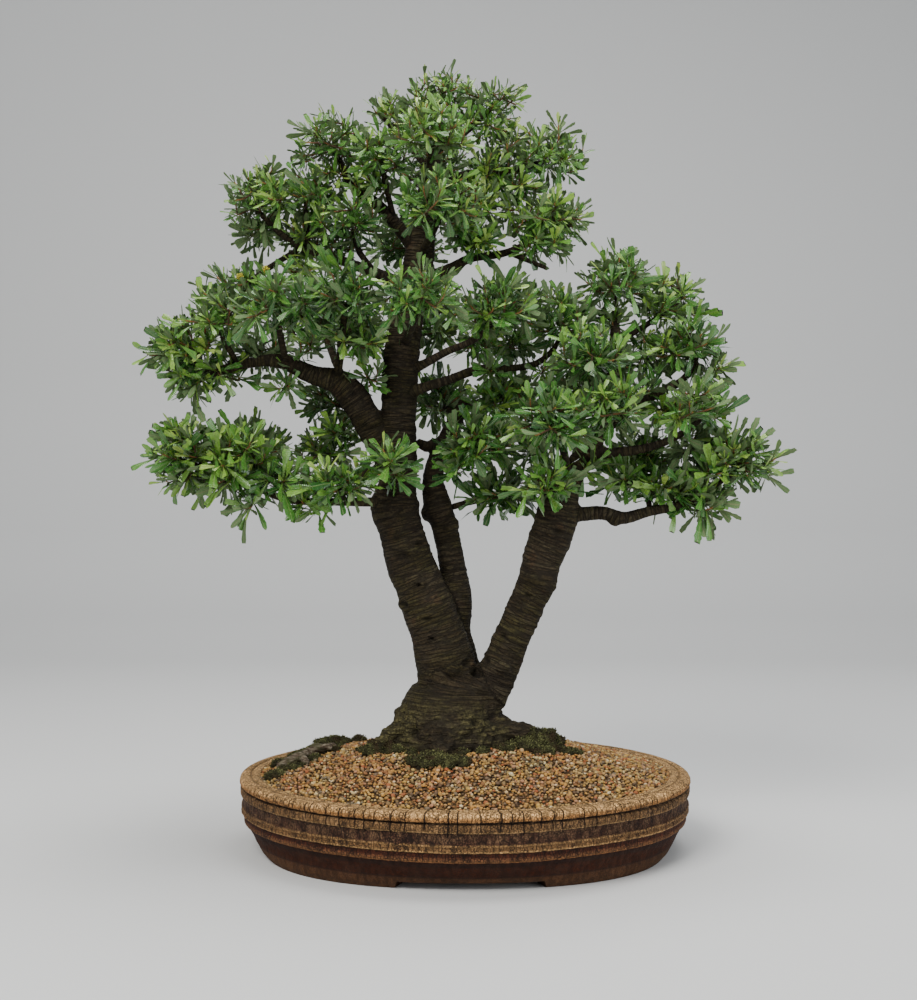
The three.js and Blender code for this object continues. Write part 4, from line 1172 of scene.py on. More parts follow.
def ring_relief(limb, along, angle, radius, place, flare):
    """How far the bark stands out, and how deep in a crease it is: rings round a limb, lumps on the flare."""
    x, y = math.cos(angle), math.sin(angle)
    offset = 17.3 * limb
    bend = 0.0022 * wave(1.3 * x + offset, 1.3 * y, along / 0.02)
    ring = abs(wave(0.9 * x + offset, 0.9 * y, (along + bend) / 0.0046))
    fine = abs(wave(2.1 * x + offset, 2.1 * y, (along + bend) / 0.0021))
    lump = wave(1.1 * x + offset, 1.1 * y, along / 0.022)
    share = min(1.0, radius / 0.018)
    relief = share * (1.7 * (ring - 0.22) + 0.6 * (fine - 0.2) + 1.3 * lump)
    if flare:
        u, v, w = place[0] / 0.013, place[1] / 0.013, place[2] / 0.0095
        twist = wave(0.6 * u, 0.6 * v, 0.6 * w)
        fold = abs(wave(u + twist, v, w + 1.2 * twist))
        crag = abs(wave(2.3 * u, 2.3 * v + 5, 2.3 * w))
        relief = relief * (1 - flare) + flare * (5.4 * (fold - 0.42) + 2.0 * (crag - 0.3) + 1.2 * lump)
        ring = ring * (1 - flare) + min(fold, 1.6 * crag) * flare
    return relief, max(0.0, 1 - 6 * ring)


def bark_on(mesh, lines, settings):
    """Moves the mesh into ringed bark and stores how far along its limb, and how deep, each point is."""
    place = vectors(mesh.vertices)
    centre = np.vstack([points for points, _ in lines])
    radius = np.concatenate([radii for _, radii in lines])
    along = np.concatenate([np.concatenate([[0], np.cumsum(np.linalg.norm(np.diff(points, axis=0), axis=1))])
                            for points, _ in lines])
    limb = np.concatenate([np.full(len(points), i) for i, (points, _) in enumerate(lines)])
    frames = [frames_along(points) for points, _ in lines]
    tangent, normal, binormal = (np.vstack([f[k] for f in frames]) for k in range(3))
    nearest = np.empty(len(place), int)
    for start in range(0, len(place), BATCH):
        part = place[start:start + BATCH]
        apart = np.linalg.norm(part[:, None] - centre[None], axis=2) - radius[None]
        nearest[start:start + BATCH] = apart.argmin(axis=1)
    arm = place - centre[nearest]
    slide = np.einsum("ij,ij->i", arm, tangent[nearest])
    out = arm - slide[:, None] * tangent[nearest]
    length = np.maximum(np.linalg.norm(out, axis=1), 1e-6)
    angle = np.arctan2(np.einsum("ij,ij->i", out, binormal[nearest]),
                       np.einsum("ij,ij->i", out, normal[nearest]))
    distance = along[nearest] + slide
    thick = radius[nearest]
    relief = np.empty(len(place))
    crease = np.empty(len(place))
    flare = np.clip((0.15 - place[:, 2]) / 0.02, 0, 1) * (thick > 0.006)
    for i in range(len(place)):
        relief[i], crease[i] = ring_relief(limb[nearest[i]], distance[i], angle[i], thick[i], place[i],
                                           flare[i])
    normals = vectors(mesh.vertex_normals, "vector")
    in_front = (normals[:, 1] < -0.1) & (place[:, 1] < 0.012)
    for x, z, wide, high in SCARS:
        near = np.hypot((place[:, 0] / MM - x) / wide, (place[:, 2] / MM - z) / high)
        hollow = np.clip(1.4 - 1.4 * near, 0, 1) * in_front
        lip = np.clip(1 - np.abs(near - 1.2) / 0.45, 0, 1) * in_front
        relief += 1.7 * lip - 3.2 * hollow
        # The hollows count as creases, so the bark is darkened in them as painted shade.
        crease = np.maximum(crease, hollow)
    set_positions(mesh, place + normals * (relief * settings.ring_depth)[:, None])
    # The bark's finish darkens each point by its crease depth, as painted shade.
    set_values(mesh, "crease", crease)
    girth = np.minimum(length, 0.03)
    spread = np.stack([girth * np.cos(angle), girth * np.sin(angle), distance + 0.31 * limb[nearest]], axis=1)
    set_values(mesh, "bark", spread, "FLOAT_VECTOR")
    set_values(mesh, "flare", flare)


def wood_mesh(settings):
    """All thick limbs fused into one skin, and the thin ones growing out of it."""
    thick, thin = MeshPile(), MeshPile()
    slender_routes = []
    for route in TRUNKS + ROOTS:
        thick.add(*tube(*smooth_route(route), 32))
    for route in BRANCHES:
        stout, slender = thick_and_thin(route)
        if len(stout) > 1:
            thick.add(*tube(*smooth_route(stout), 20))
        if len(slender) > 1:
            slender_routes.append(slender)
    for x, y, z, size in KNOTS + flare_lumps():
        points, faces = icosphere(3, size * MM)
        thick.add(points + np.array((x, y, z)) * MM, faces)
    for route in slender_routes + branchlets():
        thin.add(*tube(*smooth_route(route, 4 * MM), 9))
    both = bmesh.new()
    for part in (fused(thick.made("wood_block"), "wood_fused", settings.grain), thin.made("wood_slender")):
        both.from_mesh(part.data)
        bpy.data.objects.remove(part)
    piece = shaped_object("bark_and_branches", both)
    bark_on(piece.data, wood_lines(), settings)
    return piece


# Healed scars and hollows on the bark's front, the hollows darkened as painted shade: x, z, half-width and
# half-height in millimetres.
SCARS = [
    (-38, 225, 7, 3), (-60, 238, 5, 4), (20, 183, 6, 5), (1, 180, 5, 4), (12, 170, 8, 4), (-61, 288, 8, 4),
    (-46, 300, 5, 3), (-33, 205, 4, 2.5), (62, 248, 5, 3), (90, 312, 6, 4), (-72, 350, 6, 4),
    (-24, 118, 8, 5), (10, 128, 6, 4), (-50, 116, 6, 8), (-112, 448, 6, 4), (-47, 258, 5, 2.5),
    (38, 208, 4, 3),
]

# Burls, stubs and branch collars on the limbs: middle and half-size in millimetres.
KNOTS = [
    (-14, 26, 318, 9), (-36, 40, 330, 10), (98, -6, 318, 13), (70, -10, 268, 12), (92, -8, 300, 13),
    (-96, -2, 424, 11), (-128, -2, 466, 9), (14, -6, 158, 12), (150, -2, 325, 8.5), (-44, -4, 262, 8),
    (-62, -2, 378, 11), (60, 2, 240, 11), (-34, -8, 214, 7), (-14, -14, 176, 8), (38, -12, 178, 8),
]

# Lumps round the flare, in millimetres: how high they are, and how far out the lowest ones are.
LUMP_COUNT = 22
LUMP_HEIGHTS = (96, 121)
LUMP_REACH = 58


def flare_lumps():
    """Root lumps round the foot of the tree: middle and half-size in millimetres."""
    picker = random.Random(51)
    lumps = []
    x, y = FLARE[0][:2]
    low, high = LUMP_HEIGHTS
    for k in range(LUMP_COUNT):
        angle = GOLDEN_ANGLE * k
        height = picker.uniform(low, high)
        reach = LUMP_REACH - 0.6 * (height - low) + picker.uniform(-5, 1)
        size = picker.uniform(7, 13)
        lumps.append((x + reach * math.cos(angle), y + reach * math.sin(angle), height, size))
    return lumps


def bark_material(settings):
    """Dark olive-brown bark: crisp creases round the limbs and cracked lumps on the flare, darkened in their
    creases as painted shade, and green stains on the flare.
    """
    finish = Finish("ringed_bark", roughness=0.88, specular=0.2)
    wobble, flare = finish.wobble(75.0), finish.attribute("flare")
    creases, tones = [], []
    for source, squeeze, sway in ((finish.attribute("bark", "Vector"), (0.1, 0.1, 1.0), 0.0017),
                                  (finish.place, (0.1, 0.1, 0.7), 0.0065)):
        flat = finish.mapped(finish.moved(wobble, sway, source), squeeze)
        creases.append(finish.larger(finish.fade(finish.cell_edges(270.0, flat), 0.03, 0.15, 1.0, 0.0),
                                     finish.fade(finish.cell_edges(520.0, flat), 0.02, 0.12, 0.45, 0.0)))
        tones.append(finish.cell_tone(finish.cells(270.0, flat)))
    crease, tone = finish.between(flare, *creases), finish.between(flare, *tones)
    patch = finish.grain(26.0, 4.0, 0.6)
    fleck = finish.grain(420.0, 4.0, 0.65)
    base = finish.ramp(tone * 0.24 + fleck * 0.9, [
        (0.22, (0.012, 0.009, 0.005)), (0.48, (0.034, 0.023, 0.012)), (0.76, tuple(settings.bark_colour)),
        (0.98, (0.12, 0.104, 0.066))])
    olive = finish.mix(1.0, base, (0.92, 1.04, 0.5), "MULTIPLY")
    base = finish.mix(finish.fade(patch, 0.42, 0.66, 0.0, 0.7), base, olive)
    base = finish.mix(finish.fade(finish.grain(48.0, 3.0), 0.6, 0.72, 0.0, 0.35), base, (0.08, 0.04, 0.02))
    stain = finish.mix(finish.fade(fleck, 0.35, 0.65), (0.036, 0.032, 0.013), (0.15, 0.13, 0.052))
    base = finish.mix(flare * finish.fade(patch, 0.45, 0.62, 0.05, 0.75), base, stain)
    # Painted shade: the bark is darkened in its creases, its deepest rings and the scars' hollows.
    deep = finish.larger(crease * 0.72, finish.attribute("crease") * 0.85)
    base = finish.mix(deep, base, (0.006, 0.0045, 0.003))
    return finish.done(base, fleck * 0.5 - crease, 0.0013)


class BONSAI_OT_wood(bpy.types.Operator):
    """Makes the root flare, the three trunks and the branches with their ringed bark"""
    bl_idname = "bonsai.wood"
    bl_label = "Trunks and Branches"

    def execute(self, context):
        settings = context.scene.bonsai.wood
        piece = wood_mesh(settings)
        piece.data.materials.append(bark_material(settings))
        finish_piece(piece, ["trunks_and_branches"])
        return {"FINISHED"}


# Foliage

# Half outlines of a leaf from stalk to tip, as (share of its length, share of its half-width). The last point
# of each is on the tip's notch or point.
LEAF_OUTLINES = [
    [(0, 0.14), (0.3, 0.3), (0.62, 0.7), (0.86, 1.0), (0.97, 0.72), (0.95, 0)],
    [(0, 0.14), (0.3, 0.3), (0.56, 0.76), (0.64, 0.62), (0.8, 1.0), (0.86, 0.78), (0.98, 0.7), (0.92, 0)],
    [(0, 0.14), (0.28, 0.38), (0.58, 0.84), (0.82, 0.96), (0.95, 0.56), (1.0, 0)],
    [(0, 0.14), (0.34, 0.28), (0.7, 0.74), (0.9, 1.0), (1.0, 0.76), (0.955, 0)],
]
# Outline, bend along the leaf, and how high its midrib stands over its edges, as shares of its length.
LEAF_FORMS = [
    (0, 0.06, 0.035), (1, -0.1, 0.04), (2, 0.1, 0.04), (3, -0.03, 0.035), (0, -0.2, 0.045), (1, 0.05, 0.03),
    (3, -0.3, 0.05), (2, 0.2, 0.045),
]


def leaf_shape(number, outline, bend, arch):
    """One leaf of unit length along +X and half-width 1 along Y, face up, arched over its midrib."""
    points, uv = [], []

    def put(u, v, z):
        points.append((u, v, z + bend * u * u))
        uv.append((0.5 + 0.5 * v, u))
        return len(points) - 1

    edge = {side: [put(u, side * v, 0.0) for u, v in outline[:-1]] for side in (1, -1)}
    tip = put(outline[-1][0], 0.0, 0.004)
    over = [put(u, 0.0, arch * (0.4 + 0.6 * math.sin(math.pi * u))) for u in (0, 0.55)] + [tip]
    faces, under = [], []
    for side in (1, -1):
        rim = edge[side] + [tip]
        i = j = 0
        while i < len(over) - 1 or j < len(rim) - 1:
            ahead = points[over[i + 1]][0] if i < len(over) - 1 else 9
            beside = points[rim[j + 1]][0] if j < len(rim) - 1 else 9
            if ahead <= beside:
                face = (over[i], over[i + 1], rim[j])
                i += 1
            else:
                face = (over[i], rim[j + 1], rim[j])
                j += 1
            if len(set(face)) == 3:
                faces.append(face)
                under.append(0.0)
    for i in range(len(outline) - 2):
        a, b, c, d = edge[1][i], edge[1][i + 1], edge[-1][i + 1], edge[-1][i]
        faces += [(a, b, c), (a, c, d)]
        under += [1.0, 1.0]
    faces += [(edge[1][-1], tip, edge[-1][-1]), (over[0], edge[1][0], edge[-1][0])]
    under += [1.0, 1.0]
    leaf = mesh_object(f"leaf_shape_{number}", points, faces)
    mesh = leaf.data
    with opened(mesh) as bm:
        bmesh.ops.recalc_face_normals(bm, faces=bm.faces)
    set_values(mesh, "underside", under, domain="FACE")
    layer = mesh.uv_layers.new(name="blade")
    for loop in mesh.loops:
        layer.data[loop.index].uv = uv[loop.vertex_index]
    mesh.shade_smooth()
    rim_points = set(edge[1]) | set(edge[-1]) | {tip}
    under_faces = [set(face) for face, below in zip(faces, under) if below]
    for side in mesh.edges:
        ends = set(side.vertices)
        if ends <= rim_points and sum(ends <= face for face in under_faces) == 1:
            side.use_edge_sharp = True
    return leaf


# Random spots from which each shoot takes the one furthest from the others, and the points along its twig.
TIP_CHOICES = 14
TWIG_POINTS = 5


def spray_tips(sprays, shoots):
    """Where the shoots of every spray end, spread evenly through the sprays: lists of (tip, axis)."""
    picker = np.random.default_rng(4000)
    known = np.empty((0, 3))
    result = []
    for name, middle, half, _ in sprays:
        middle, half = (np.array(middle) + SHIFTS.get(name, (0, 0, 0))) * MM, np.array(half) * MM
        tips = []
        for _ in range(round(shoots * (half.mean() / 0.042) ** 2)):
            out = picker.normal(size=(TIP_CHOICES, 3))
            out /= np.linalg.norm(out, axis=1)[:, None]
            out[:, 2] = np.where(out[:, 2] < -0.45, -out[:, 2], out[:, 2])
            reach = picker.uniform(0.12, 1.0, TIP_CHOICES) ** 0.6 * 0.72
            reach *= [1 + 0.3 * wave(*(2.1 * way + 7 * middle / half)) for way in out]
            spots = middle + out * half * reach[:, None]
            apart = (np.linalg.norm(spots[:, None] - known[None], axis=2).min(axis=1)
                     if len(known) else np.ones(TIP_CHOICES))
            best = int(np.argmax(np.minimum(apart, 0.02) + 0.003 * reach))
            known = np.vstack([known, spots[best]])
            tree_out = spots[best] - np.array([-0.03, 0.0, 0.0])
            tree_out[2] = 0
            axis = (0.42 * out[best] * (0.9, 0.9, 0.6) + 1.8 * tree_out + (0, -0.12, 0.5)
                    + picker.uniform(-0.5, 0.5, 3))
            tips.append((spots[best], axis / np.linalg.norm(axis)))
        result.append(tips)
    return result


def spray_shoots(number, spray, carriers, tips):
    """Twigs of one spray from the wood to their leafy tips: lists of points, each with its values."""
    _, middle, half, _ = spray
    picker = random.Random(4000 + number)
    middle, half = np.array(middle) * MM, np.array(half) * MM
    nodes = list(carriers[np.linalg.norm((carriers - middle) / half, axis=1) < 0.8])
    if not nodes:
        nodes = list(carriers[np.argsort(np.linalg.norm(carriers - middle, axis=1))[:3]])
    nodes = nodes[::3]
    tips.sort(key=lambda tip: min(np.linalg.norm(tip[0] - node) for node in nodes))
    tone = picker.uniform(-0.1, 0.1)
    twigs = []
    for tip, axis in tips:
        start = min(nodes, key=lambda node: np.linalg.norm(tip - axis * 0.008 - node))
        length = np.linalg.norm(tip - start)
        if length < 0.009:
            start = start - axis * 0.009
            length = np.linalg.norm(tip - start)
        t = np.linspace(0, 1, TWIG_POINTS)[:, None]
        leave = (tip - start) * 0.9 + np.array([0, 0, -0.1 * length])
        enter = axis * length * 0.9
        line = bow(t, start, leave, tip, enter)
        nodes += [line[2], line[3]]
        high = 0.5 + 0.5 * (tip[2] - middle[2]) / half[2]
        # Leaves deep inside a spray get a lower tone and so are darker, as painted shade.
        outer = min(1.0, np.linalg.norm((tip - middle) / half))
        twigs.append({
            "line": line,
            "thickness": (0.0008 + 0.006 * length) * (1 - 0.35 * t[:, 0]),
            "spin": picker.uniform(0, 2 * math.pi),
            "shade": (0.1 + tone + 0.16 * high + 0.3 * outer + picker.uniform(-0.14, 0.2)
                      + 0.12 * min(1, max(0, (tip[2] - 0.56) / 0.12)) + 0.22 * abs(tip[0] + 0.03)),
            "vigour": (picker.uniform(0.8, 1.14) * (1.18 - 1.05 * (tip[2] - 0.37))
                       * (1 - 0.25 * max(0.0, tip[1]))),
        })
    return twigs


def shoot_lines(number, group, carriers, tips):
    """A mesh of polylines, root first, for the twigs of a group of sprays."""
    points, edges = [], []
    values = {key: [] for key in ("thickness", "spin", "shade", "vigour")}
    for offset, spray in enumerate(group):
        for twig in spray_shoots(number + offset, spray, carriers, tips[number + offset]):
            first = len(points)
            points += list(twig["line"])
            edges += [(first + i, first + i + 1) for i in range(len(twig["line"]) - 1)]
            values["thickness"] += list(twig["thickness"])
            for key in ("spin", "shade", "vigour"):
                values[key] += [twig[key]] * len(twig["line"])
    lines = mesh_object("twig_lines", points, [], edges)
    for key, numbers in values.items():
        set_values(lines.data, key, numbers)
    return lines


def shoot_group():
    """Geometry nodes that grow twigs along lines and whorls of leaves at their ends."""
    nodes = Growth("Leafy Shoots", [
        ("Leaf Length", "Float", 0.028), ("Leaf Width", "Float", 0.008), ("Leaves", "Int", 12),
        ("Leafy Length", "Float", 0.025), ("Lowest Angle", "Float", 0.3), ("Highest Angle", "Float", 1.25),
        ("Leaf Shapes", "Collection", None), ("Leaf Finish", "Material", None),
        ("Twig Finish", "Material", None)])
    given = nodes.given
    curve = nodes.add("GeometryNodeMeshToCurve", {"Mesh": given["Geometry"]})
    share = nodes.add("GeometryNodeSplineParameter", output="Factor")
    profile = nodes.add("GeometryNodeCurvePrimitiveCircle", {"Resolution": 4, "Radius": 1.0})
    twigs = nodes.add("GeometryNodeCurveToMesh",
                      {"Curve": nodes.stored(curve, "age", share), "Profile Curve": profile,
                       "Scale": nodes.named("thickness"), "Fill Caps": True})
    twigs = nodes.finished(twigs, given["Twig Finish"])
    whole = nodes.add("GeometryNodeSplineLength", output="Length")
    start = nodes.larger(0.0, 1.0 - given["Leafy Length"] / whole)
    leafy = nodes.add("GeometryNodeTrimCurve", {"Curve": curve, "Start": start, "End": 1.0}, mode="FACTOR")
    leafy = nodes.add("GeometryNodeResampleCurve", {"Curve": leafy, "Count": given["Leaves"]}, mode="COUNT")
    leafy = nodes.stored(nodes.stored(leafy, "order", share.sibling("Index")), "rise", share)
    spots = nodes.add("GeometryNodeCurveToPoints", {"Curve": leafy}, mode="EVALUATED")
    rise = nodes.named("rise")
    turn = nodes.named("order") * GOLDEN_ANGLE + nodes.named("spin") + nodes.random(-0.6, 0.6, 1)
    lift = nodes.add("ShaderNodeMapRange", {0: rise, 1: 0.0, 2: 1.0, 3: given["Lowest Angle"],
                                            4: given["Highest Angle"]}) + nodes.random(-0.55, 0.35, 2)
    rotation = nodes.add("FunctionNodeAlignRotationToVector", {"Vector": spots.sibling("Tangent")}, axis="Z")
    for axis, angle in (((0, 0, 1), turn), ((0, 1, 0), lift * -1.0), ((1, 0, 0), nodes.random(-0.4, 0.4, 3))):
        rotation = nodes.spun(rotation, axis, angle)
    young = rise ** 2.0 * 0.4
    size = (nodes.random(0.0, 1.0, 4) ** 1.4 * 0.9 + 0.6) * nodes.named("vigour") * (1.0 - young)
    length = size * given["Leaf Length"]
    width = size * given["Leaf Width"] * nodes.random(0.42, 0.58, 5)
    leaves = nodes.set_out(spots, given["Leaf Shapes"], nodes.random(0, len(LEAF_FORMS) - 1, 6, "INT"),
                           rotation, nodes.combined(length, width, length))
    # The tint adds random tone and young growth to the shoot's tone, which darkens leaves deep inside each
    # spray as painted shade.
    tint = nodes.named("shade") + nodes.random(-0.13, 0.13, 7) + young * 0.9
    leaves = nodes.real(nodes.stored(leaves, "tint", tint, "INSTANCE"))
    return nodes.done(nodes.together(nodes.finished(leaves, given["Leaf Finish"]), twigs))


def leaf_material(settings):
    """Leathery leaf: green above with a pale midrib, felted silver below."""
    finish = Finish("banksia_leaf", roughness=0.4, specular=0.62)
    blade = finish.add("ShaderNodeUVMap", uv_map="blade")
    across = finish.add("ShaderNodeSeparateXYZ", {0: blade})
    under = finish.attribute("underside")
    mature, young = tuple(settings.mature_colour), tuple(settings.young_colour)
    mottle = finish.grain(320.0, 3.0)
    mixed = finish.attribute("tint") + finish.fade(mottle, 0.25, 0.75, -0.06, 0.06)
    # The low stops darken the leaves deep inside the sprays, partly as painted shade.
    top = finish.ramp(mixed, [(0.05, tuple(0.45 * c for c in mature)), (0.32, mature),
                              (0.56, (0.07, 0.2, 0.028)), (0.8, young), (1.0, (0.29, 0.4, 0.075))])
    rib = finish.fade(finish.math("ABSOLUTE", across - 0.5), 0.03, 0.08, 1.0, 0.0)
    top = finish.mix(rib * 0.4, top, (0.2, 0.26, 0.08))
    stalk = finish.fade(across.sibling("Y"), 0.0, 0.35, 0.55, 0.0)
    top = finish.mix(stalk, top, (0.12, 0.17, 0.035))
    felt = finish.fade(finish.grain(900.0, 2.0), 0.3, 0.7)
    bottom = finish.mix(felt, (0.066, 0.135, 0.04), (0.13, 0.205, 0.075))
    bottom = finish.mix(rib * 0.6, bottom, (0.2, 0.18, 0.09))
    rough = finish.between(under, finish.fade(mottle, 0.3, 0.7, 0.14, 0.3), 0.85)
    veins = finish.add("ShaderNodeTexWave", {"Vector": blade, "Scale": 5.5, "Distortion": 1.5}, 1,
                       bands_direction="Y")
    return finish.done(finish.mix(under, top, bottom), veins * 0.35 + rib * -0.8, 0.00035, 0.6, rough)


def twig_material():
    """Brown at the root and rusty at the young end."""
    finish = Finish("rusty_twig", roughness=0.75, specular=0.3)
    base = finish.ramp(finish.attribute("age"), [
        (0.0, (0.05, 0.032, 0.02)), (0.45, (0.12, 0.06, 0.028)), (0.8, (0.3, 0.12, 0.036)),
        (1.0, (0.38, 0.2, 0.06))])
    speck = finish.grain(700.0, 3.0)
    base = finish.mix(finish.fade(speck, 0.35, 0.7, 0.0, 0.5), base, (0.04, 0.025, 0.015))
    return finish.done(base, speck, 0.0004, 0.6)


def bud_material():
    """Yellow-green buds, uneven in tone."""
    finish = Finish("bud_yellow", roughness=0.55, specular=0.3)
    tone = finish.grain(500.0, 3.0)
    base = finish.ramp(tone, [(0.3, (0.14, 0.16, 0.02)), (0.5, (0.42, 0.38, 0.04)),
                              (0.7, (0.66, 0.56, 0.09))])
    return finish.done(base, tone, 0.0003)


class BONSAI_OT_foliage(bpy.types.Operator):
    """Grows the twigs and the whorls of leaves of every spray"""
    bl_idname = "bonsai.foliage"
    bl_label = "Foliage"

    def execute(self, context):
        settings = context.scene.bonsai.foliage
        shapes = gathered("Leaf Shapes", [leaf_shape(number, LEAF_OUTLINES[outline], bend, arch)
                                          for number, (outline, bend, arch) in enumerate(LEAF_FORMS)])
        growth = shoot_group()
        leaf, twig = leaf_material(settings), twig_material()
        carriers = np.vstack([points for points, _ in wood_lines()])
        all_sprays = {name: group + [("", *tuft, None) for tuft in TUFTS[name]]
                      for name, group in SPRAYS.items()}
        tips = spray_tips([spray for group in all_sprays.values() for spray in group], settings.shoots)
        number = 0
        for name, group in all_sprays.items():
            lines = shoot_lines(number, group, carriers, tips)
            number += len(group)
            piece = growth.grown(
                lines, name, leaf_length=settings.leaf_length, leaf_width=settings.leaf_width,
                leaves=settings.leaves, seed=settings.seed + 50 * number, leaf_shapes=shapes,
                leaf_finish=leaf, twig_finish=twig)
            keep_values(piece.data, "tint", "underside", "age", "blade")
            finish_piece(piece, [f"foliage_{spray[0]}" for spray in SPRAYS[name]], smooth=False)
        remove_shapes(shapes)
        return {"FINISHED"}


class BONSAI_OT_buds(bpy.types.Operator):
    """Makes the clusters of young flower buds"""
    bl_idname = "bonsai.buds"
    bl_label = "Flower Buds"

    def execute(self, context):
        picker = random.Random(91)
        pile = MeshPile()
        for middle, half in BUDS:
            for k in range(BUDS_IN_CLUSTER):
                height = 1 - 2 * (k + 0.5) / BUDS_IN_CLUSTER
                angle = GOLDEN_ANGLE * k
                across = math.sqrt(1 - height * height)
                way = Vector((across * math.cos(angle), across * math.sin(angle), height))
                tip = Vector(middle) + way * half * picker.uniform(0.8, 1.15)
                foot = Vector(middle) + way * half * 0.2
                waist = tip.lerp(foot, 0.3)
                route = [(*foot, 0.5), (*waist, 0.55), (*tip, 0.75)]
                pile.add(*tube(*smooth_route(route, 1.5 * MM), 6))
        piece = pile.made("flower_buds")
        piece.data.materials.append(bud_material())
        finish_piece(piece)
        return {"FINISHED"}


# Gravel

def bed_height(x, y):
    """Height of the pebbles in millimetres over a point in millimetres."""
    share = min(1.0, math.hypot(x, y / BED_OVAL) / BED_HALF_WIDTH)
    return PEBBLE_EDGE_Z + MOUND_RISE * (1 - share * share)


def clear_of_wood(points, lines, margin):
    """Whether each point is outside the wood by more than a margin in metres."""
    centre = np.vstack([p for p, _ in lines])
    radius = np.concatenate([r for _, r in lines])
    low = centre[:, 2] < 0.14
    centre, radius = centre[low], radius[low]
    return np.array([(np.linalg.norm(centre - point, axis=1) - radius).min() > margin for point in points])


def bed_mesh(name, lines, half_width, sink, thickness):
    """The pebbles' ground: a mound of rings with small dips, closed below where it has a thickness."""
    rings, steps = BED_RINGS, BED_STEPS
    points, faces = [(0.0, 0.0, (bed_height(0, 0) - sink) * MM)], []
    for ring in range(1, rings + 1):
        for step in range(steps):
            angle = 2 * math.pi * step / steps
            reach = half_width * ring / rings
            x, y = reach * math.cos(angle), reach * BED_OVAL * math.sin(angle)
            dip = 1.1 * wave(x / 9, y / 9, 4.2) + 0.7 * wave(x / 3.2, y / 3.2, 9.1)
            points.append((x * MM, y * MM, (bed_height(x, y) - sink + dip * (ring < rings)) * MM))
    for step in range(steps):
        faces.append((0, 1 + step, 1 + (step + 1) % steps))
    for ring in range(rings - 1):
        for step in range(steps):
            a, b = 1 + ring * steps + step, 1 + ring * steps + (step + 1) % steps
            faces.append((a, a + steps, b + steps, b))
    top = len(points)
    if thickness:
        points += [(x * 0.98, y * 0.98, z - thickness * MM) for x, y, z in points]
        faces += [tuple(top + i for i in reversed(face)) for face in faces]
        rim = 1 + (rings - 1) * steps
        for step in range(steps):
            a, b = rim + step, rim + (step + 1) % steps
            faces.append((a, top + a, top + b, b))
    bed = mesh_object(name, points, faces)
    set_values(bed.data, "open", clear_of_wood(vectors(bed.data.vertices), lines, 0.8 * MM))
    return bed


def pebble_shapes():
    """A collection of small rounded stones."""
    picker = random.Random(77)
    pebbles = []
    for number in range(PEBBLE_KINDS):
        points, faces = icosphere(1, 0.5)
        stretch = np.array([picker.uniform(0.85, 1.2), picker.uniform(0.75, 1.0), picker.uniform(0.6, 0.8)])
        points = [point * stretch * picker.uniform(0.88, 1.12) for point in points]
        pebbles.append(mesh_object(f"pebble_shape_{number}", points, faces))
        if number % 2:
            pebbles[-1].data.shade_smooth()
    return gathered("Pebble Shapes", pebbles)


def pebble_group():
    """Geometry nodes that lay pebbles over open ground."""
    nodes = Growth("Pebbles", [("Spacing", "Float", 0.003), ("Size", "Float", 0.0036),
                               ("Pebble Shapes", "Collection", None), ("Finish", "Material", None)])
    given = nodes.given
    spin = nodes.random((-0.5, -0.5, 0.0), (0.5, 0.5, 6.28), 1, "FLOAT_VECTOR")
    size = given["Size"] * (nodes.random(0.0, 1.0, 2) ** 2.2 * 0.85 + 0.72)
    pebbles = nodes.set_out(nodes.spread(420000.0), given["Pebble Shapes"],
                            nodes.random(0, PEBBLE_KINDS - 1, 3, "INT"), spin, size)
    pebbles = nodes.stored(pebbles, "tone", nodes.random(0.0, 1.0, 4), "INSTANCE")
    lift = nodes.combined(z=nodes.random(-0.0005, 0.0011, 5))
    pebbles = nodes.add("GeometryNodeTranslateInstances",
                        {"Instances": pebbles, "Translation": lift, "Local Space": False})
    return nodes.done(nodes.finished(nodes.real(pebbles), given["Finish"]))


def pebble_material():
    """Mixed river pebbles, each of one colour."""
    finish = Finish("mixed_pebbles", roughness=0.72, specular=0.35)
    base = finish.ramp(finish.attribute("tone"), [
        (0.0, (0.36, 0.21, 0.065)), (0.14, (0.46, 0.31, 0.125)), (0.28, (0.25, 0.12, 0.045)),
        (0.4, (0.58, 0.44, 0.23)), (0.47, (0.22, 0.145, 0.065)), (0.6, (0.34, 0.11, 0.04)),
        (0.66, (0.42, 0.24, 0.14)), (0.72, (0.17, 0.13, 0.09)), (0.8, (0.5, 0.29, 0.075)),
        (0.91, (0.1, 0.065, 0.04)), (0.975, (0.68, 0.56, 0.38))], "CONSTANT")
    mottle = finish.grain(800.0, 3.0)
    base = finish.mix(finish.fade(mottle, 0.35, 0.7, 0.0, 0.5), base, (0.11, 0.062, 0.024))
    drift = finish.fade(finish.grain(24.0, 4.0, 0.6), 0.34, 0.66)
    base = finish.mix(1.0, base, finish.mix(drift, (1.0, 0.82, 0.72), (1.02, 1.08, 0.96)), "MULTIPLY")
    return finish.done(base, mottle, 0.0004, 0.5, finish.fade(mottle, 0.3, 0.7, 0.6, 0.85))


def ground_material():
    """Dark gaps between the pebbles, painted as shade."""
    finish = Finish("grit_between_pebbles", roughness=0.95, specular=0.2)
    grains_in_shade = finish.cells(420.0)
    base = finish.ramp(finish.cell_tone(grains_in_shade), [(0.0, (0.03, 0.018, 0.01)), (0.6, (0.08, 0.046, 0.02)),
                                                (1.0, (0.18, 0.105, 0.04))])
    return finish.done(base, grains_in_shade * -1.0, 0.0015)


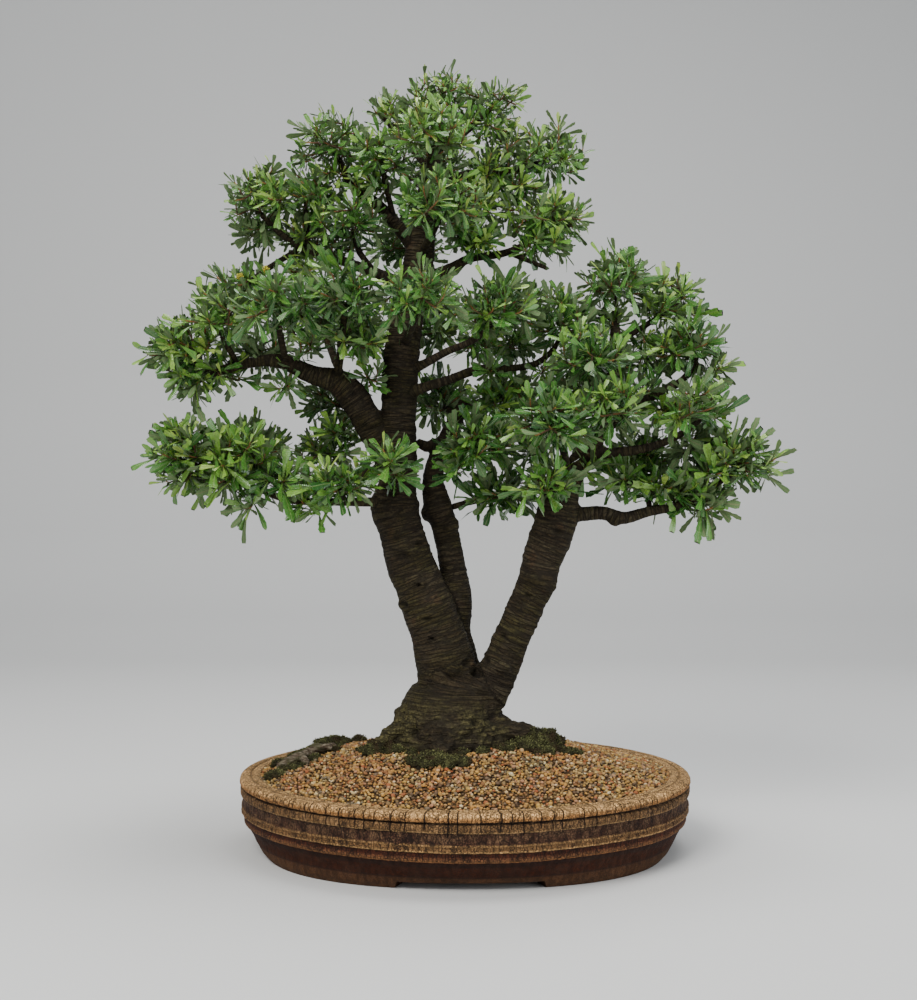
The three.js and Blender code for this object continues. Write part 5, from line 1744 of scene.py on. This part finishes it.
class BONSAI_OT_gravel(bpy.types.Operator):
    """Lays the mounded pebbles over their ground"""
    bl_idname = "bonsai.gravel"
    bl_label = "Pebble Dressing"

    def execute(self, context):
        settings = context.scene.bonsai.gravel
        lines = wood_lines()
        # The ground is a dark layer under the pebbles, as painted shade in the gaps between them.
        ground = bed_mesh("gravel_ground", lines, half_width=199.6, sink=2.0, thickness=9)
        field = bed_mesh("gravel_field", lines, half_width=202.2, sink=0.6, thickness=0)
        shapes, growth, finish = pebble_shapes(), pebble_group(), pebble_material()
        for side in ("left", "right"):
            part = linked("half_field", field.data.copy())
            with opened(part.data) as bm:
                unwanted = [face for face in bm.faces
                            if (face.calc_center_median().x < -0.002) == (side == "right")]
                bmesh.ops.delete(bm, geom=unwanted, context="FACES")
            piece = growth.grown(part, f"pebbles_{side}", spacing=settings.spacing, size=settings.size,
                                 seed=settings.seed + len(side), pebble_shapes=shapes, finish=finish)
            keep_values(piece.data, "tone")
            finish_piece(piece)
        bpy.data.objects.remove(field)
        ground.data.attributes.remove(ground.data.attributes["open"])
        ground.data.materials.append(ground_material())
        finish_piece(ground, ["pebble_dressing"])
        remove_shapes(shapes)
        return {"FINISHED"}


# Moss and old root

def cushion_parts(middle, half, number):
    """Middles and half-sizes of a main cushion and the smaller ones round it."""
    picker = random.Random(600 + number)
    parts = [(middle, (0.8 * half[0], 0.85 * half[1], 0.82 * half[2]))]
    for k in range(1, 8):
        angle = GOLDEN_ANGLE * k + number
        x = middle[0] + half[0] * picker.uniform(0.5, 0.98) * math.cos(angle)
        y = middle[1] + half[1] * picker.uniform(0.5, 0.98) * math.sin(angle)
        size = [picker.uniform(0.24, 0.46) * half[0], picker.uniform(0.26, 0.46) * half[0],
                picker.uniform(3.5, 6.5)]
        parts.append(((x, y, bed_height(x, y) + picker.uniform(-2, 2)), size))
    return parts


def moss_cushion(parts, number):
    """Uneven cushions, sunk in the pebbles."""
    pile = MeshPile()
    for k, (middle, half) in enumerate(parts):
        points, faces = icosphere(4 if half[0] > 16 else 3)
        shift = 3.1 * k + number
        for point in points:
            x, y, z = point
            uneven = (1 + 0.3 * wave(1.9 * x + shift, 1.9 * y, 1.9 * z)
                      + 0.16 * wave(5 * x, 5 * y + shift, 5 * z))
            point[:] = (middle + point * half * uneven) * MM
        pile.add(points, faces)
    return pile.made("cushion")


def frond_shape():
    """One moss frond: a thin bent spike of unit height."""
    points, faces = [], []
    for height, width in ((0.0, 0.26), (0.55, 0.2)):
        for corner in range(3):
            angle = 2 * math.pi * corner / 3
            points.append((width * math.cos(angle) + 0.2 * height, width * math.sin(angle), height))
    points.append((0.34, 0.0, 1.0))
    faces.append((2, 1, 0))
    for corner in range(3):
        nxt = (corner + 1) % 3
        faces.append((corner, nxt, 3 + nxt, 3 + corner))
        faces.append((3 + corner, 3 + nxt, 6))
    return mesh_object("frond_shape", points, faces)


def moss_group():
    """Geometry nodes that cover a cushion with fronds."""
    nodes = Growth("Moss", [("Spacing", "Float", 0.0016), ("Length", "Float", 0.004),
                            ("Frond", "Object", None), ("Finish", "Material", None)])
    given = nodes.given
    spots = nodes.spread(900000.0)
    lean = nodes.add("FunctionNodeEulerToRotation",
                     {0: nodes.random((-0.7, -0.7, 0.0), (0.7, 0.7, 6.28), 1, "FLOAT_VECTOR")})
    frond = nodes.add("GeometryNodeObjectInfo", {"Object": given["Frond"]}, "Geometry")
    fronds = nodes.add("GeometryNodeInstanceOnPoints",
                       {"Points": spots, "Instance": frond,
                        "Rotation": nodes.turned(spots.sibling("Rotation"), lean),
                        "Scale": given["Length"] * nodes.random(0.55, 1.3, 2)})
    fronds = nodes.real(nodes.stored(fronds, "tone", nodes.random(0.0, 1.0, 3), "INSTANCE"))
    return nodes.done(nodes.finished(nodes.together(fronds, given["Geometry"]), given["Finish"]))


def moss_material():
    """Dark soft moss with paler frond tips."""
    finish = Finish("dark_moss", roughness=0.95, specular=0.2)
    clumps = finish.grain(120.0, 4.0, 0.6)
    base = finish.ramp(finish.attribute("tone") * 0.26 + clumps * 0.84, [
        (0.22, (0.011, 0.009, 0.005)), (0.44, (0.036, 0.035, 0.014)), (0.6, (0.09, 0.095, 0.034)),
        (0.8, (0.29, 0.29, 0.11))])
    soil = finish.fade(finish.grain(60.0, 4.0, 0.6), 0.5, 0.6, 0.0, 0.85)
    return finish.done(finish.mix(soil, base, (0.03, 0.017, 0.009)), clumps, 0.002)


class BONSAI_OT_moss(bpy.types.Operator):
    """Grows the moss at the roots"""
    bl_idname = "bonsai.moss"
    bl_label = "Moss"

    def execute(self, context):
        settings = context.scene.bonsai.moss
        frond, growth, finish = frond_shape(), moss_group(), moss_material()
        pieces = [(f"{node}_tufts", [node], cushion_parts(middle, half, number))
                  for number, (node, middle, half) in enumerate(MOSS)]
        pieces += [(name, [], [((x, y, bed_height(x, y)), half) for x, y, half in clumps])
                   for name, clumps in CLUMPS.items()]
        for number, (name, nodes, parts) in enumerate(pieces):
            cushion = moss_cushion(parts, number)
            place = vectors(cushion.data.vertices) / MM
            ground = np.array([bed_height(x, y) for x, y, _ in place])
            set_values(cushion.data, "open", (place[:, 2] > ground - 1).astype(float))
            piece = growth.grown(cushion, name, spacing=settings.spacing, length=settings.tuft,
                                 seed=30 + number, frond=frond, finish=finish)
            keep_values(piece.data, "tone")
            finish_piece(piece, nodes)
        bpy.data.objects.remove(frond)
        return {"FINISHED"}


def old_root_mesh():
    """A gnarled weathered root with two short stubs."""
    pile = MeshPile()
    pile.add(*tube(*smooth_route(OLD_ROOT, 1.6 * MM), 22))
    for stub in OLD_ROOT_STUBS:
        pile.add(*tube(*smooth_route(stub, 2 * MM), 14))
    piece = fused(pile.made("old_root_block"), "weathered_root", OLD_ROOT_GRAIN)
    place = vectors(piece.data.vertices)
    axis = np.array([0.72, 0.66, 0.2])
    rough = []
    for point in place:
        along = float(point @ axis)
        x, _, z = point - along * axis
        rough.append(1.7 * wave(x / 0.006, z / 0.006, along / 0.014)
                     + 0.7 * wave(x / 0.0025, z / 0.0025, along / 0.006))
    normals = vectors(piece.data.vertex_normals, "vector")
    set_positions(piece.data, place + normals * (np.array(rough) * MM)[:, None])
    return piece


def old_root_material():
    """Grey-green weathered wood with dark grooves."""
    finish = Finish("weathered_root_wood", roughness=0.93, specular=0.2)
    long = finish.mapped(finish.place, (0.5, 2.2, 2.2), (0.0, 0.0, -0.74))
    grain = finish.grain(240.0, 5.0, 0.65, long)
    base = finish.ramp(grain, [(0.32, (0.02, 0.014, 0.01)), (0.48, (0.08, 0.055, 0.036)),
                               (0.62, (0.2, 0.17, 0.12)), (0.74, (0.42, 0.38, 0.3))])
    patch = finish.fade(finish.grain(70.0, 3.0), 0.45, 0.62, 0.0, 0.75)
    return finish.done(finish.mix(patch, base, (0.05, 0.05, 0.022)), grain, 0.0015)


class BONSAI_OT_old_root(bpy.types.Operator):
    """Makes the weathered piece of old root on the pebbles"""
    bl_idname = "bonsai.old_root"
    bl_label = "Old Root"

    def execute(self, context):
        piece = old_root_mesh()
        piece.data.materials.append(old_root_material())
        finish_piece(piece, ["old_surface_root"])
        return {"FINISHED"}


# Stage

# The photo's view, the floor's curve behind the tree (y and z), and the lamps: name, place, size, share of
# the key lamp's power, and tone. Lengths are in metres, but the lens and its sensor are in millimetres.
CAMERA_PLACE = (-0.0065, -1.2, 0.32)
SENSOR_WIDTH = 36
LENS = 43.2
LENS_SHIFT = 0.023
FLOOR_SWEEP = [(-3.0, 0.0), (1.6, 0.0), (2.1, 0.06), (2.45, 0.3), (2.6, 0.8), (2.6, 4.0)]
LAMP_TARGET = (0.0, 0.0, 0.42)
LAMPS = [
    ("key_lamp", (-1.1, -1.7, 2.1), 1.3, 1.0, (1.0, 0.98, 0.94)),
    ("top_lamp", (0.3, 0.1, 2.3), 1.2, 0.5, (1.0, 1.0, 1.0)),
    ("fill_lamp", (1.8, -1.5, 0.9), 1.6, 0.4, (0.95, 0.98, 1.0)),
]


def lamp(name, place, size, power, tone):
    """A square soft lamp that points at the tree."""
    light = bpy.data.lights.new(name, "AREA")
    light.energy = power
    light.size = size
    light.color = tone
    holder = bpy.data.objects.new(name, light)
    holder.location = place
    holder.rotation_euler = (Vector(LAMP_TARGET) - Vector(place)).to_track_quat("-Z", "Y").to_euler()
    bpy.context.scene.collection.objects.link(holder)


class BONSAI_OT_stage(bpy.types.Operator):
    """Sets the plain floor, the soft lamps and the camera"""
    bl_idname = "bonsai.stage"
    bl_label = "Stage"

    def execute(self, context):
        settings = context.scene.bonsai.stage
        points = [(x, y, z) for y, z in FLOOR_SWEEP for x in (-5.0, 5.0)]
        faces = [(2 * i, 2 * i + 1, 2 * i + 3, 2 * i + 2) for i in range(len(FLOOR_SWEEP) - 1)]
        floor = mesh_object("floor_sweep", points, faces)
        floor.data.shade_smooth()
        finish = Finish("plain_floor", roughness=0.7, specular=0.25)
        finish.shader["Base Color"].default_value = (*settings.floor_colour, 1.0)
        floor.data.materials.append(finish.material)
        world = bpy.data.worlds.new("studio")
        world.use_nodes = True
        back = world.node_tree.nodes["Background"]
        back.inputs[0].default_value = (0.82, 0.86, 0.92, 1.0)
        back.inputs[1].default_value = 0.5
        context.scene.world = world
        for name, place, size, share, tone in LAMPS:
            lamp(name, place, size, share * settings.key_power, tone)
        camera = bpy.data.cameras.new("photo_camera")
        camera.sensor_width = SENSOR_WIDTH
        camera.lens = LENS
        camera.shift_y = LENS_SHIFT
        holder = bpy.data.objects.new("photo_camera", camera)
        holder.location = CAMERA_PLACE
        holder.rotation_euler = (math.radians(90), 0, 0)
        context.scene.collection.objects.link(holder)
        context.scene.camera = holder
        return {"FINISHED"}


# Panel and registration

PIECES = [BONSAI_OT_pot, BONSAI_OT_fill, BONSAI_OT_gravel, BONSAI_OT_wood, BONSAI_OT_foliage, BONSAI_OT_buds,
          BONSAI_OT_moss, BONSAI_OT_old_root, BONSAI_OT_stage]


class BONSAI_PT_sidebar(bpy.types.Panel):
    """Lists the steps that make the bonsai"""
    bl_idname = "BONSAI_PT_sidebar"
    bl_label = "Silver Banksia Bonsai"
    bl_space_type = "VIEW_3D"
    bl_region_type = "UI"
    bl_category = "Bonsai"

    def draw(self, context):
        for operator in PIECES:
            self.layout.operator(operator.bl_idname)


CLASSES = [PotSettings, GravelSettings, WoodSettings, FoliageSettings, MossSettings, StageSettings,
           BonsaiSettings, *PIECES, BONSAI_PT_sidebar]


def register():
    for item in CLASSES:
        bpy.utils.register_class(item)
    bpy.types.Scene.bonsai = PointerProperty(type=BonsaiSettings)


def unregister():
    del bpy.types.Scene.bonsai
    for item in reversed(CLASSES):
        bpy.utils.unregister_class(item)


def main():
    register()
    bpy.ops.bonsai.stage()
    bpy.ops.bonsai.pot()
    bpy.ops.bonsai.fill()
    bpy.ops.bonsai.gravel()
    bpy.ops.bonsai.wood()
    bpy.ops.bonsai.foliage()
    bpy.ops.bonsai.buds()
    bpy.ops.bonsai.moss()
    bpy.ops.bonsai.old_root()


if __name__ == "__main__":
    main()
